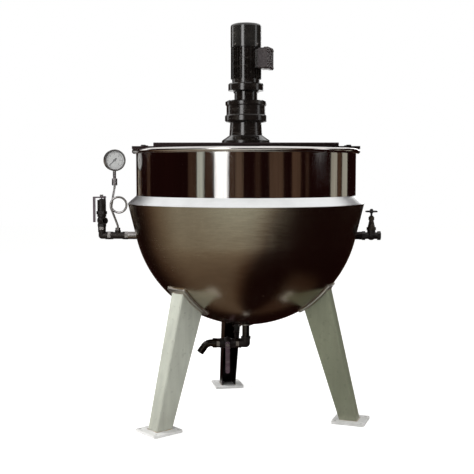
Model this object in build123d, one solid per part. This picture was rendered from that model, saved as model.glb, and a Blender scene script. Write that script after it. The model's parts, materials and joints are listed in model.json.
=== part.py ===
from build123d import *

import os
from math import acos, asin, atan2, cos, degrees, hypot, radians, sin, sqrt, tan

# Steam jacketed cooking kettle on three folded legs, with a top-mounted gearmotor and a wiping
# anchor agitator.  All sizes are in millimetres.  +Z is up, the floor is z = 0 and the vessel's
# axis is the Z axis.  The operator stands on the -Y side, the steam comes in on the +X side and
# the safety valve and pressure gauge stand on the -X side.

# ---------------------------------------------------------------- vessel
KETTLE_INNER_R = 500.0
KETTLE_WALL = 3.0
BOWL_CENTRE_Z = 963.0
STRAIGHT_WALL = 254.0
RIM_TUBE_R = 11.0
RIM_OVERHANG = 8.0
JACKET_GAP = 14.0
JACKET_DROP = 26.0
JACKET_FLARE = 25.0
JACKET_RISE = 43.0
JACKET_WALL = 3.0
COLLAR_RISE = 38.0
COLLAR_SHEET = 5.0

# ---------------------------------------------------------------- legs
LEG_COUNT = 3
LEG_FIRST_ANGLE = -138.7
LEG_NAMES = ("leg_left", "leg_right", "leg_rear")
LEG_SHEET = 5.0
LEG_BEND_R = 9.0
LEG_SPREAD = 36.0
LEG_LEAN = 0.234
LEG_FOOT_DEPTH = 80.0
LEG_DEPTH_GAIN = 0.097
LEG_FOOT_WIDTH = 72.0
LEG_WIDTH_GAIN = 0.02
PAD_THICKNESS = 8.0
PAD_MARGIN = 22.0
FOOT_PLATE_T = 12.0
FOOT_PLATE_SIDE = 150.0
FOOT_PLATE_INSET = 36.0
FOOT_PLATE_CORNER = 10.0
FOOT_HOLE_PITCH = 114.0
FOOT_HOLE_R = 7.0

# ---------------------------------------------------------------- bridge
BRIDGE_WIDTH = 230.0
BRIDGE_HEIGHT = 28.0
BRIDGE_SHEET = 5.0
BRIDGE_END_SETBACK = 85.0
BRIDGE_SHAFT_HOLE_R = 32.0
END_PLATE_T = 12.0
END_PLATE_LAP = 65.0
LUG_LENGTH = 46.0
LUG_WIDTH = 130.0
LUG_T = 12.0
BRIDGE_BOLT_R = 6.0
BRIDGE_BOLT_INSET = 32.0
BRIDGE_BOLT_Y = 45.0

# ---------------------------------------------------------------- reducer
HOUSING_FOOT_R = 111.0
HOUSING_FOOT_T = 11.0
HOUSING_NECKING = 17.0
HOUSING_TAPER = 4.0
HOUSING_FLARE = 24.0
HOUSING_HEIGHT = 97.0
LOWER_FLANGE_OUT = 7.0
LOWER_FLANGE_T = 32.0
RING_R = 89.5
RING_HEIGHT = 40.0
RING_WALL = 13.5
UPPER_FLANGE_OUT = 5.0
UPPER_FLANGE_T = 24.0
NECK_R = 53.0
NECK_HEIGHT = 45.0
NECK_BORE_R = 36.0
ADAPTER_FLANGE_OUT = 17.5
ADAPTER_FLANGE_T = 17.0
FLANGE_CHAMFER = 5.0
FLANGE_BOLTS = 6
FLANGE_BOLT_TURN = 30.0
FLANGE_BOLT_R = 4.0
BOLT_SEAT_R = 7.6
FOOT_BOLTS = 6
FOOT_BOLT_INSET = 13.0

# ---------------------------------------------------------------- motor
SHIELD_FLANGE_T = 17.0
SHIELD_OUT = 2.5
SHIELD_HEIGHT = 16.0
MOTOR_CORE_R = 61.0
MOTOR_FIN_DEPTH = 9.0
MOTOR_FIN_T = 2.6
MOTOR_FINS = 28
MOTOR_LENGTH = 152.0
MOTOR_AIR_GAP = 0.7
MOTOR_BOLT_INSET = 9.5
MOTOR_BOLTS = 4
REAR_SHIELD_T = 9.0
REAR_LUGS = 4
REAR_LUG_WIDTH = 14.0
COVER_OUT = 0.5
COVER_SHEET = 1.5
COVER_LENGTH = 105.5
COVER_CORNER_R = 13.0
COVER_OVERLAP = 7.0
COVER_SLOTS = ((14.0, 20.0), (26.0, 32.0), (38.0, 44.0), (50.0, 55.0))
COVER_RIB = 5.0
BOX_TURN = -20.0
BOX_WIDTH = 92.0
BOX_HEIGHT = 98.0
BOX_FOOT = 2.0
BOX_DEPTH = 28.0
BOX_LID_T = 17.0
BOX_CENTRE_UP = 92.0
BOX_CORNER = 10.0
BOX_WALL = 3.0
GLAND_R = 11.0
GLAND_BORE_R = 4.4
GLAND_HEX = 14.0
GLAND_TAIL = 6.0

# ---------------------------------------------------------------- shafts and bearings
ROTOR_SHAFT_R = 9.5
ROTOR_CORE_R = 37.5
ROTOR_CORE_LENGTH = 96.0
ROTOR_CORE_UP = 28.0
MOTOR_BEARING_R = 20.0
MOTOR_BEARING_T = 12.0
OUTPUT_SHAFT_R = 19.0
OUTPUT_BEARING_R = 36.0
OUTPUT_BEARING_T = 16.0
CARRIER_GAP = 14.0
CARRIER_T = 12.0
CARRIER_PINS = 8
CARRIER_PIN_CIRCLE_R = 44.0
CARRIER_PIN_R = 5.0
ECCENTRIC_R = 15.0
ECCENTRICITY = 2.0
RUN_CLEARANCE = 0.1
COUPLING_R = 36.0
COUPLING_LENGTH = 92.0
COUPLING_DROP = 14.0
FAN_R = 56.0
FAN_HEIGHT = 24.0
FAN_BLADES = 7
FAN_HUB_R = 17.0

# ---------------------------------------------------------------- agitator
AGITATOR_SHAFT_R = 22.5
AGITATOR_SHAFT_FOOT_UP = 42.0
ANCHOR_GAP = 22.0
ANCHOR_BAR = 46.0
ANCHOR_T = 12.0
ANCHOR_TOP_GAP = 96.0
CROSS_ARM_UP = (-163.0, 112.0)
CROSS_ARM_R = 15.0
CROSS_HUB_R = 34.0
CROSS_HUB_LENGTH = 58.0
WIPER_T = 10.0
WIPER_GAP = 2.0
WIPER_WIDTH = 44.0
WIPER_SPANS = ((-84.0, -62.0), (-59.0, -37.0), (-34.0, -8.0))
WIPER_TOP_START = 22.0
WIPER_TOP_INSET = 10.0
WIPER_BOLT_R = 4.0

# ---------------------------------------------------------------- screwed pipework, 3/4 inch
SERVICE_DROP = 150.0
THREAD_R = 13.2
THREAD_DEPTH = 12.0
PIPE_BORE_R = 10.0
BAND_R = 18.0
BAND_LENGTH = 11.0
FITTING_R = 16.0
HEX_FLATS = 32.0
HEX_LENGTH = 14.0
SOCKET_R = 17.5
GAUGE_SOCKET_OUT = 6.0
TEE_HALF = 33.0
TEE_BRANCH = 24.0
ELBOW_HALF = 27.0

# ---------------------------------------------------------------- safety valve
VALVE_BODY_R = 21.0
VALVE_BODY_HEIGHT = 58.0
VALVE_SEAT_R = 8.0
VALVE_SEAT_UP = 22.0
VALVE_CHAMBER_R = 16.0
VALVE_OUTLET_TURN = -62.0
VALVE_OUTLET_REACH = 38.0
VALVE_OUTLET_R = 17.0
VALVE_OUTLET_BORE_R = 10.5
VALVE_OUTLET_DEPTH = 14.0
BONNET_R = 20.0
BONNET_BORE_R = 15.5
BONNET_HEIGHT = 66.0
BONNET_TOP_T = 9.0
SPINDLE_R = 4.0
SPINDLE_DISC_R = 11.0
SPINDLE_HEAD_R = 8.0
SPRING_COLLAR_R = 13.0
SPRING_MEAN_R = 10.5
SPRING_WIRE_R = 1.8
SPRING_TURNS = 6.0
LEVER_T = 6.0
LEVER_WIDTH = 22.0
LEVER_PIVOT_X = 14.0
LEVER_ARM_OUT = 39.0
LEVER_ARM_T = 10.0
LEVER_ARM_LENGTH = 118.0
LEVER_PIN_R = 2.5
LEVER_EAR_T = 6.0

# ---------------------------------------------------------------- gauge and its pigtail syphon
SYPHON_TUBE_R = 5.0
SYPHON_COIL_R = 36.0
SYPHON_COIL_X = 4.0
SYPHON_COIL_UP = 142.0
SYPHON_PITCH = 13.0
SYPHON_SIDES = 10
GAUGE_SHIFT = -15.0
GAUGE_UP = 348.0
GAUGE_R = 50.0
GAUGE_DEPTH = 30.0
GAUGE_WALL = 2.0
GAUGE_BEZEL = 6.0
GAUGE_TURN = 22.0
GAUGE_STEM_R = 7.5
GAUGE_NUT_FLATS = 22.0
POINTER_LENGTH = 34.0
POINTER_TAIL = 13.0
POINTER_REST = 225.0

# ---------------------------------------------------------------- steam inlet globe valve
GLOBE_HALF = 43.0
GLOBE_R = 21.0
GLOBE_END_FLATS = 36.0
GLOBE_END_LENGTH = 15.0
GLOBE_CHAMBER_R = 13.0
GLOBE_SEAT_R = 8.0
GLOBE_SEAT_T = 4.0
GLOBE_NECK_R = 19.0
GLOBE_NECK_UP = 26.0
GLOBE_BONNET_FLATS = 34.0
GLOBE_BONNET_HEX = 13.0
GLOBE_BONNET_UP = 72.0
GLOBE_BONNET_TOP_R = 10.0
GLAND_NUT_FLATS = 23.0
GLAND_NUT_HEIGHT = 20.0
GLOBE_DISC_R = 11.0
GLOBE_DISC_T = 6.0
GLOBE_LIFT = 9.0
GLOBE_STEM_R = 5.0
HANDWHEEL_R = 25.0
HANDWHEEL_RIM_R = 3.6
HANDWHEEL_GAP = 14.0
HANDWHEEL_UP = 112.0
HANDWHEEL_SPOKES = 5

# ---------------------------------------------------------------- discharge line, 1 inch
OUTLET_TUBE_R = 16.85
OUTLET_TUBE_WALL = 2.6
OUTLET_DROP = 95.0
OUTLET_BOSS_R = 32.0
OUTLET_BOSS_T = 8.0
OUTLET_BAND_R = 22.5
OUTLET_FITTING_R = 20.0
OUTLET_ELBOW_HALF = 32.0
OUTLET_HEX_FLATS = 38.0
BALL_R = 19.0
BALL_BORE_R = 12.5
BALL_BODY_R = 28.0
BALL_BODY_HALF = 38.0
BALL_END_FLATS = 41.0
BALL_END_LENGTH = 15.0
BALL_NECK_R = 12.0
BALL_NECK_OUT = 38.0
BALL_STEM_R = 5.5
BALL_LEVER_LENGTH = 132.0
BALL_LEVER_WIDTH = 20.0
BALL_LEVER_T = 4.0
BALL_LEVER_CRANK = 14.0
SPOUT_BEND_R = 40.0
SPOUT_BEND = 55.0
SPOUT_STRAIGHT = 26.0
SPOUT_TAIL = 34.0

# ---------------------------------------------------------------- condensate drain cock
DRAIN_X = -45.0
DRAIN_Y = 112.0
DRAIN_SOCKET_R = 14.0
DRAIN_SOCKET_DROP = 24.0
DRAIN_BODY_R = 13.0
DRAIN_BODY_HEIGHT = 58.0
DRAIN_BORE_R = 6.0
DRAIN_PLUG_R = 8.5
DRAIN_PLUG_OUT = 30.0
DRAIN_TAIL_R = 9.0
DRAIN_TAIL = 22.0
DRAIN_HANDLE = 44.0

# ---------------------------------------------------------------- worked-out places
KETTLE_OUTER_R = KETTLE_INNER_R + KETTLE_WALL
RIM_Z = BOWL_CENTRE_Z + STRAIGHT_WALL
RIM_TOP_Z = RIM_Z + RIM_TUBE_R
RIM_CENTRE_R = KETTLE_OUTER_R + RIM_OVERHANG
JACKET_SPHERE_R = KETTLE_OUTER_R + JACKET_GAP
JACKET_SPHERE_Z = BOWL_CENTRE_Z - JACKET_DROP
JACKET_TOP_R = JACKET_SPHERE_R + JACKET_FLARE
JACKET_TOP_Z = JACKET_SPHERE_Z + JACKET_RISE
LEG_FOOT_REACH = KETTLE_INNER_R + LEG_SPREAD
FOOT_PLATE_REACH = LEG_FOOT_REACH - FOOT_PLATE_INSET
BRIDGE_HALF_LENGTH = KETTLE_INNER_R - BRIDGE_END_SETBACK
END_PLATE_INNER = BRIDGE_HALF_LENGTH - END_PLATE_LAP
BRIDGE_BOLT_X = KETTLE_INNER_R - BRIDGE_BOLT_INSET
LOWER_FLANGE_R = RING_R + LOWER_FLANGE_OUT
UPPER_FLANGE_R = RING_R + UPPER_FLANGE_OUT
RING_BORE_R = RING_R - RING_WALL
FLANGE_BOLT_CIRCLE_R = (RING_R + RING_BORE_R) / 2
HOUSING_HIGH_R = RING_R - HOUSING_NECKING
HOUSING_LOW_R = HOUSING_HIGH_R + HOUSING_TAPER
FOOT_BOLT_CIRCLE_R = HOUSING_FOOT_R - FOOT_BOLT_INSET
CARRIER_R = RING_BORE_R - CARRIER_GAP
SHIELD_R = MOTOR_CORE_R + SHIELD_OUT
ADAPTER_FLANGE_R = SHIELD_R + ADAPTER_FLANGE_OUT
MOTOR_BOLT_CIRCLE_R = ADAPTER_FLANGE_R - MOTOR_BOLT_INSET
MOTOR_FIN_R = MOTOR_CORE_R + MOTOR_FIN_DEPTH
MOTOR_BORE_R = ROTOR_CORE_R + MOTOR_AIR_GAP
COVER_R = MOTOR_FIN_R + COVER_OUT
BOX_BASE_IN = MOTOR_FIN_R + BOX_FOOT
BOX_BASE_OUT = BOX_BASE_IN + BOX_DEPTH
BOX_LID_OUT = BOX_BASE_OUT + BOX_LID_T
BOX_INLET_OUT = (BOX_BASE_IN + BOX_BASE_OUT) / 2
BRIDGE_TOP_Z = RIM_TOP_Z + BRIDGE_HEIGHT
HOUSING_TOP_Z = BRIDGE_TOP_Z + HOUSING_HEIGHT
RING_BASE_Z = HOUSING_TOP_Z + LOWER_FLANGE_T
RING_TOP_Z = RING_BASE_Z + RING_HEIGHT
NECK_BASE_Z = RING_TOP_Z + UPPER_FLANGE_T
NECK_TOP_Z = NECK_BASE_Z + NECK_HEIGHT
MOTOR_FLANGE_Z = NECK_TOP_Z + ADAPTER_FLANGE_T
SHIELD_BASE_Z = MOTOR_FLANGE_Z + SHIELD_FLANGE_T
MOTOR_BASE_Z = SHIELD_BASE_Z + SHIELD_HEIGHT
MOTOR_TOP_Z = MOTOR_BASE_Z + MOTOR_LENGTH
REAR_SHIELD_TOP_Z = MOTOR_TOP_Z + REAR_SHIELD_T
COVER_BASE_Z = MOTOR_TOP_Z - COVER_OVERLAP
COVER_TOP_Z = COVER_BASE_Z + COVER_LENGTH
BOX_CENTRE_Z = MOTOR_BASE_Z + BOX_CENTRE_UP
AGITATOR_SHAFT_FOOT_Z = BOWL_CENTRE_Z - KETTLE_INNER_R + AGITATOR_SHAFT_FOOT_UP
ANCHOR_TOP_Z = RIM_TOP_Z - LUG_T - ANCHOR_TOP_GAP
WIPER_TOP_SPAN = (BOWL_CENTRE_Z + WIPER_TOP_START, ANCHOR_TOP_Z - WIPER_TOP_INSET)
SERVICE_Z = JACKET_TOP_Z - SERVICE_DROP
GAUGE_SOCKET_END = JACKET_TOP_R + GAUGE_SOCKET_OUT
TEE_X = -(GAUGE_SOCKET_END + HEX_LENGTH + TEE_HALF)
ELBOW_X = TEE_X - TEE_HALF - HEX_LENGTH - ELBOW_HALF
SAFETY_BASE_Z = SERVICE_Z + ELBOW_HALF + HEX_LENGTH
SAFETY_TOP_Z = SAFETY_BASE_Z + VALVE_BODY_HEIGHT
BONNET_TOP_Z = SAFETY_TOP_Z + BONNET_HEIGHT
GLOBE_X = JACKET_TOP_R + HANDWHEEL_GAP + HANDWHEEL_R
STEAM_SOCKET_END = GLOBE_X - GLOBE_HALF - HEX_LENGTH
OUTLET_Z = JACKET_SPHERE_Z - JACKET_SPHERE_R - OUTLET_DROP
BALL_X = -(OUTLET_ELBOW_HALF + HEX_LENGTH + BALL_BODY_HALF)
SPOUT_X = BALL_X - BALL_BODY_HALF - HEX_LENGTH

ALONG_X = Rot(0, 90, 0)
ALONG_MINUS_X = Rot(0, -90, 0)
ALONG_MINUS_Y = Rot(90, 0, 0)


# ================================================================ helpers
def turned(*edges):
    """Solid of revolution about Z from edges drawn with x as the radius and y as the height."""
    return revolve(Plane.XZ * make_face(edges), Axis.Z)


def torus(ring_r, tube_r, z):
    """Round ring about Z."""
    section = Pos(ring_r, z) * Circle(tube_r)
    return turned(*section.edges())


def lathe(*corners):
    """Solid of revolution about Z from (radius, height) corners."""
    return turned(*Polyline(*corners, close=True).edges())


def rod(radius, low, high):
    """Round bar on the Z axis between two heights."""
    return Pos(0, 0, low) * Cylinder(radius, high - low, align=(Align.CENTER, Align.CENTER, Align.MIN))


def pipe(outer_r, inner_r, low, high):
    """Tube on the Z axis between two heights."""
    return rod(outer_r, low, high) - rod(inner_r, low, high)


def hexagon(flats, low, high):
    """Hexagonal bar on the Z axis, across-flats size, between two heights."""
    return Pos(0, 0, low) * extrude(RegularPolygon(flats / sqrt(3), 6), high - low)


def slab(x0, x1, y0, y1, z0, z1):
    """Block between two corners."""
    return Pos(x0, y0, z0) * Box(x1 - x0, y1 - y0, z1 - z0, align=(Align.MIN, Align.MIN, Align.MIN))


def turned_about_z(count, first=0.0):
    """Placements of repeated pieces, evenly spaced about the Z axis."""
    return [Rot(0, 0, first + 360.0 / count * i) for i in range(count)]


def save(name, *pieces):
    """Writes one node, of one or more separate solids."""
    solids = [s for piece in pieces for s in piece.solids()]
    shape = solids[0] if len(solids) == 1 else Compound(children=solids)
    export_step(shape, f"parts/{name}.step")


# ================================================================ vessel
def bowl_solid(radius, centre_z, top_z):
    """Filled hemisphere with a straight wall above it."""
    return turned(
        CenterArc((0, centre_z), radius, -90, 90),
        Line((radius, centre_z), (radius, top_z)),
        Line((radius, top_z), (0, top_z)),
        Line((0, top_z), (0, centre_z - radius)),
    )


def jacket_solid(inset):
    """Filled jacket: a sphere, then a cone tangent to it up to the collar, set in by a wall."""
    rise = JACKET_TOP_Z - JACKET_SPHERE_Z
    tangent = degrees(atan2(rise, JACKET_TOP_R)
                      - acos(JACKET_SPHERE_R / hypot(rise, JACKET_TOP_R)))
    radius = JACKET_SPHERE_R - inset
    knuckle_r = radius * cos(radians(tangent))
    knuckle_z = JACKET_SPHERE_Z + radius * sin(radians(tangent))
    top_r = JACKET_TOP_R - inset / cos(radians(tangent))
    return turned(
        CenterArc((0, JACKET_SPHERE_Z), radius, -90, 90 + tangent),
        Line((knuckle_r, knuckle_z), (top_r, JACKET_TOP_Z)),
        Line((top_r, JACKET_TOP_Z), (0, JACKET_TOP_Z)),
        Line((0, JACKET_TOP_Z), (0, JACKET_SPHERE_Z - radius)),
    )


JACKET_OUTSIDE = jacket_solid(0)
OUTLET_HOLE = rod(OUTLET_TUBE_R, 0, BOWL_CENTRE_Z)


def inner_kettle():
    """Cooking bowl: hemispherical bottom and straight wall, open at the top."""
    wall_top = RIM_Z + RIM_TUBE_R / 2
    shell = bowl_solid(KETTLE_OUTER_R, BOWL_CENTRE_Z, wall_top)
    shell -= bowl_solid(KETTLE_INNER_R, BOWL_CENTRE_Z, wall_top + 1)
    return shell - OUTLET_HOLE


def rim_ring():
    """Rolled bead round the mouth, welded to the outside of the wall."""
    return torus(RIM_CENTRE_R, RIM_TUBE_R, RIM_Z) - rod(KETTLE_OUTER_R, RIM_Z - 2 * RIM_TUBE_R, RIM_TOP_Z + 1)


def jacket_shell():
    """Outer steam shell, with its nozzle holes."""
    shell = jacket_solid(0) - jacket_solid(JACKET_WALL) - OUTLET_HOLE
    across = Pos(0, 0, SERVICE_Z) * ALONG_X * rod(PIPE_BORE_R, -JACKET_TOP_R, JACKET_TOP_R)
    drain = Pos(DRAIN_X, DRAIN_Y, 0) * rod(DRAIN_BORE_R, 0, JACKET_SPHERE_Z)
    return shell - across - drain


def jacket_collar():
    """Sloping ring that closes the steam space against the kettle wall."""
    reach = JACKET_TOP_R - KETTLE_OUTER_R
    slope = hypot(COLLAR_RISE, reach)
    drop = COLLAR_SHEET * slope / reach
    inset = COLLAR_SHEET * slope / COLLAR_RISE
    top = JACKET_TOP_Z + COLLAR_RISE
    ring = lathe(
        (JACKET_TOP_R, JACKET_TOP_Z),
        (KETTLE_OUTER_R, top),
        (KETTLE_OUTER_R, top - drop),
        (JACKET_TOP_R - inset, JACKET_TOP_Z),
    )
    return ring


# ================================================================ legs
def leg_section(z, grow=0.0):
    """Channel outline of a leg at height z: web outwards, flanges towards the vessel's axis."""
    web = LEG_FOOT_REACH - LEG_LEAN * (z - FOOT_PLATE_T)
    depth = LEG_FOOT_DEPTH + LEG_DEPTH_GAIN * (z - FOOT_PLATE_T)
    half = (LEG_FOOT_WIDTH + LEG_WIDTH_GAIN * (z - FOOT_PLATE_T)) / 2
    outline = Pos(web, 0) * Rectangle(depth, 2 * half, align=(Align.MAX, Align.CENTER))
    corners = outline.vertices().group_by(Axis.X)[-1]
    outline = fillet(corners, LEG_BEND_R)
    hollow = Pos(web - LEG_SHEET, 0) * Rectangle(
        depth, 2 * (half - LEG_SHEET), align=(Align.MAX, Align.CENTER))
    inner_corners = hollow.vertices().group_by(Axis.X)[-1]
    hollow = fillet(inner_corners, LEG_BEND_R - LEG_SHEET)
    return Pos(0, 0, z) * outline, Pos(0, 0, z) * hollow


PAD_OUTSIDE = Pos(0, 0, JACKET_SPHERE_Z) * Sphere(JACKET_SPHERE_R + PAD_THICKNESS)


def leg():
    """Folded channel leg, scribed at the top to its pad on the bowl."""
    top = JACKET_SPHERE_Z - JACKET_SPHERE_R * 0.5
    low_out, low_in = leg_section(FOOT_PLATE_T)
    high_out, high_in = leg_section(top)
    channel = loft([low_out, high_out]) - loft([low_in, high_in])
    return channel - PAD_OUTSIDE


def leg_web_reach(z):
    """Distance of the leg's outer face from the vessel's axis."""
    return LEG_FOOT_REACH - LEG_LEAN * (z - FOOT_PLATE_T)


def leg_meets_pad(lean, foot):
    """Height at which a leaning straight edge of the leg reaches the pad's outer sphere."""
    radius = JACKET_SPHERE_R + PAD_THICKNESS
    reach = foot - lean * (JACKET_SPHERE_Z - FOOT_PLATE_T)
    square = 1 + lean ** 2
    drop = sqrt((lean * reach) ** 2 - square * (reach ** 2 - radius ** 2))
    return JACKET_SPHERE_Z + (lean * reach - drop) / square


def leg_pad():
    """Rolled doubling plate between the leg and the jacket."""
    outer_z = leg_meets_pad(LEG_LEAN, LEG_FOOT_REACH)
    inner_lean = LEG_LEAN + LEG_DEPTH_GAIN
    inner_z = leg_meets_pad(inner_lean, LEG_FOOT_REACH - LEG_FOOT_DEPTH)
    outer_r = leg_web_reach(outer_z)
    inner_r = LEG_FOOT_REACH - LEG_FOOT_DEPTH - inner_lean * (inner_z - FOOT_PLATE_T)
    mid_angle = degrees(atan2(JACKET_SPHERE_Z - (outer_z + inner_z) / 2, (outer_r + inner_r) / 2))
    length = hypot(outer_r - inner_r, outer_z - inner_z) + 2 * PAD_MARGIN
    width = LEG_FOOT_WIDTH + LEG_WIDTH_GAIN * outer_z + 2 * PAD_MARGIN
    plate = extrude(RectangleRounded(length, width, PAD_MARGIN * 0.6), JACKET_SPHERE_R + 2 * PAD_MARGIN)
    plate = Pos(0, 0, JACKET_SPHERE_Z) * Rot(0, 90 + mid_angle, 0) * plate
    shell = PAD_OUTSIDE - Pos(0, 0, JACKET_SPHERE_Z) * Sphere(JACKET_SPHERE_R)
    return plate & shell


def foot_plate():
    """Floor plate of a leg with an anchor hole in each corner."""
    outline = RectangleRounded(FOOT_PLATE_SIDE, FOOT_PLATE_SIDE, FOOT_PLATE_CORNER)
    for corner in GridLocations(FOOT_HOLE_PITCH, FOOT_HOLE_PITCH, 2, 2):
        outline -= corner * Circle(FOOT_HOLE_R)
    return Pos(FOOT_PLATE_REACH, 0) * extrude(outline, FOOT_PLATE_T)


# ================================================================ bridge
def bridge_beam():
    """Folded channel across the mouth, open downwards, that carries the drive."""
    half = BRIDGE_WIDTH / 2
    beam = slab(-BRIDGE_HALF_LENGTH, BRIDGE_HALF_LENGTH, -half, half, RIM_TOP_Z, BRIDGE_TOP_Z)
    beam = fillet(beam.edges().filter_by(Axis.X).group_by(Axis.Z)[-1], BRIDGE_SHEET * 1.5)
    inside = half - BRIDGE_SHEET
    beam -= slab(-BRIDGE_HALF_LENGTH, BRIDGE_HALF_LENGTH, -inside, inside,
                 RIM_TOP_Z, BRIDGE_TOP_Z - BRIDGE_SHEET)
    beam -= rod(BRIDGE_SHAFT_HOLE_R, RIM_TOP_Z, BRIDGE_TOP_Z)
    for place in turned_about_z(FOOT_BOLTS):
        beam -= place * Pos(FOOT_BOLT_CIRCLE_R, 0) * rod(FLANGE_BOLT_R, RIM_TOP_Z, BRIDGE_TOP_Z)
    return beam


def bridge_end_plate():
    """Flat plate inside the end of the beam that lies on the rim bead."""
    inside = BRIDGE_WIDTH / 2 - BRIDGE_SHEET
    outer = RIM_CENTRE_R + RIM_TUBE_R
    plate = slab(END_PLATE_INNER, outer, -inside, inside, RIM_TOP_Z, RIM_TOP_Z + END_PLATE_T)
    plate &= rod(outer, RIM_TOP_Z, RIM_TOP_Z + END_PLATE_T)
    for side in (-1, 1):
        plate -= Pos(BRIDGE_BOLT_X, side * BRIDGE_BOLT_Y) * rod(BRIDGE_BOLT_R, 0, COVER_TOP_Z)
    return plate


def bridge_lug():
    """Bracket welded inside the mouth, under the end plate."""
    lug = slab(KETTLE_INNER_R - LUG_LENGTH - LUG_T, KETTLE_INNER_R, -LUG_WIDTH / 2, LUG_WIDTH / 2,
               RIM_TOP_Z - LUG_T, RIM_TOP_Z)
    lug &= rod(KETTLE_INNER_R, RIM_TOP_Z - LUG_T, RIM_TOP_Z)
    for side in (-1, 1):
        lug -= Pos(BRIDGE_BOLT_X, side * BRIDGE_BOLT_Y) * rod(BRIDGE_BOLT_R, 0, COVER_TOP_Z)
    return lug


def hex_bolt(radius, grip_low, grip_high):
    """Headed bolt with its nut, clamping from grip_low to grip_high."""
    head = radius * 1.3
    bolt = rod(radius, grip_low - head, grip_high)
    bolt += hexagon(radius * 3.2, grip_high, grip_high + head)
    bolt += hexagon(radius * 3.2, grip_low - head, grip_low)
    return bolt


def bridge_bolts():
    """Four bolts that hold the beam's ends to the lugs."""
    bolt = hex_bolt(BRIDGE_BOLT_R, RIM_TOP_Z - LUG_T, RIM_TOP_Z + END_PLATE_T)
    return [Pos(x, y) * bolt for x in (-BRIDGE_BOLT_X, BRIDGE_BOLT_X)
            for y in (-BRIDGE_BOLT_Y, BRIDGE_BOLT_Y)]


# ================================================================ reducer
def output_housing():
    """Bell that stands on the beam and holds the output shaft's two bearings."""
    z = BRIDGE_TOP_Z
    body = lathe(
        (BRIDGE_SHAFT_HOLE_R, z),
        (HOUSING_FOOT_R, z),
        (HOUSING_FOOT_R, z + HOUSING_FOOT_T),
        (HOUSING_LOW_R, z + HOUSING_FOOT_T + HOUSING_FLARE),
        (HOUSING_HIGH_R, HOUSING_TOP_Z - FLANGE_CHAMFER),
        (LOWER_FLANGE_R - FLANGE_CHAMFER, HOUSING_TOP_Z),
        (LOWER_FLANGE_R, HOUSING_TOP_Z + FLANGE_CHAMFER),
        (LOWER_FLANGE_R, RING_BASE_Z - FLANGE_CHAMFER),
        (RING_R, RING_BASE_Z),
        (RING_BORE_R, RING_BASE_Z),
        (RING_BORE_R, RING_BASE_Z - CARRIER_T - 4),
        (OUTPUT_BEARING_R, RING_BASE_Z - CARRIER_T - 4),
        (OUTPUT_BEARING_R, RING_BASE_Z - CARRIER_T - 6 - OUTPUT_BEARING_T),
        (OUTPUT_BEARING_R - 5, RING_BASE_Z - CARRIER_T - 6 - OUTPUT_BEARING_T),
        (OUTPUT_BEARING_R - 5, z + HOUSING_FOOT_T + OUTPUT_BEARING_T),
        (OUTPUT_BEARING_R, z + HOUSING_FOOT_T + OUTPUT_BEARING_T),
        (OUTPUT_BEARING_R, z + HOUSING_FOOT_T),
        (BRIDGE_SHAFT_HOLE_R, z + HOUSING_FOOT_T),
    )
    bolt_hole = rod(FLANGE_BOLT_R, z, z + HOUSING_FOOT_T + 1)
    seat = rod(FLANGE_BOLT_R * 2.2, z + HOUSING_FOOT_T, z + HOUSING_FOOT_T + HOUSING_FLARE)
    for place in turned_about_z(FOOT_BOLTS):
        body -= place * Pos(FOOT_BOLT_CIRCLE_R, 0) * (bolt_hole + seat)
    low, _ = ring_bolt_span()
    for place in turned_about_z(FLANGE_BOLTS, FLANGE_BOLT_TURN):
        hole = rod(FLANGE_BOLT_R, low, RING_BASE_Z) + rod(BOLT_SEAT_R, low - 2 * FLANGE_CHAMFER, low)
        body -= place * Pos(FLANGE_BOLT_CIRCLE_R, 0) * hole
    return body


def ring_bolt_span():
    """Heights that the reducer's through bolts clamp between, in seats cut into both flanges."""
    return HOUSING_TOP_Z + FLANGE_CHAMFER, NECK_BASE_Z - FLANGE_CHAMFER


def motor_bolt_span():
    """Heights that the motor's flange bolts clamp between."""
    return NECK_TOP_Z, SHIELD_BASE_Z - FLANGE_CHAMFER


def pin_gear_ring():
    """Ring clamped between the reducer's two covers."""
    ring = pipe(RING_R, RING_BORE_R, RING_BASE_Z, RING_TOP_Z)
    for place in turned_about_z(FLANGE_BOLTS, FLANGE_BOLT_TURN):
        ring -= place * Pos(FLANGE_BOLT_CIRCLE_R, 0) * rod(FLANGE_BOLT_R, RING_BASE_Z, RING_TOP_Z)
    return ring


def input_housing():
    """Upper cover of the reducer with the neck and the motor's mating flange."""
    cover = lathe(
        (RING_BORE_R - 12, RING_TOP_Z),
        (RING_R, RING_TOP_Z),
        (UPPER_FLANGE_R, RING_TOP_Z + FLANGE_CHAMFER),
        (UPPER_FLANGE_R, NECK_BASE_Z - FLANGE_CHAMFER),
        (UPPER_FLANGE_R - 2 * FLANGE_CHAMFER, NECK_BASE_Z),
        (NECK_R, NECK_BASE_Z),
        (NECK_R, NECK_TOP_Z - FLANGE_CHAMFER),
        (NECK_R + FLANGE_CHAMFER, NECK_TOP_Z),
        (ADAPTER_FLANGE_R, NECK_TOP_Z),
        (ADAPTER_FLANGE_R, MOTOR_FLANGE_Z),
        (NECK_BORE_R, MOTOR_FLANGE_Z),
        (NECK_BORE_R, RING_TOP_Z + UPPER_FLANGE_T / 2),
        (RING_BORE_R - 12, RING_TOP_Z + UPPER_FLANGE_T / 2),
    )
    _, high = ring_bolt_span()
    for place in turned_about_z(FLANGE_BOLTS, FLANGE_BOLT_TURN):
        hole = rod(FLANGE_BOLT_R, RING_TOP_Z, high) + rod(BOLT_SEAT_R, high, NECK_BASE_Z)
        cover -= place * Pos(FLANGE_BOLT_CIRCLE_R, 0) * hole
    for place in turned_about_z(MOTOR_BOLTS, 180 / MOTOR_BOLTS):
        cover -= place * Pos(MOTOR_BOLT_CIRCLE_R, 0) * rod(FLANGE_BOLT_R, NECK_TOP_Z, MOTOR_FLANGE_Z)
    return cover


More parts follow.
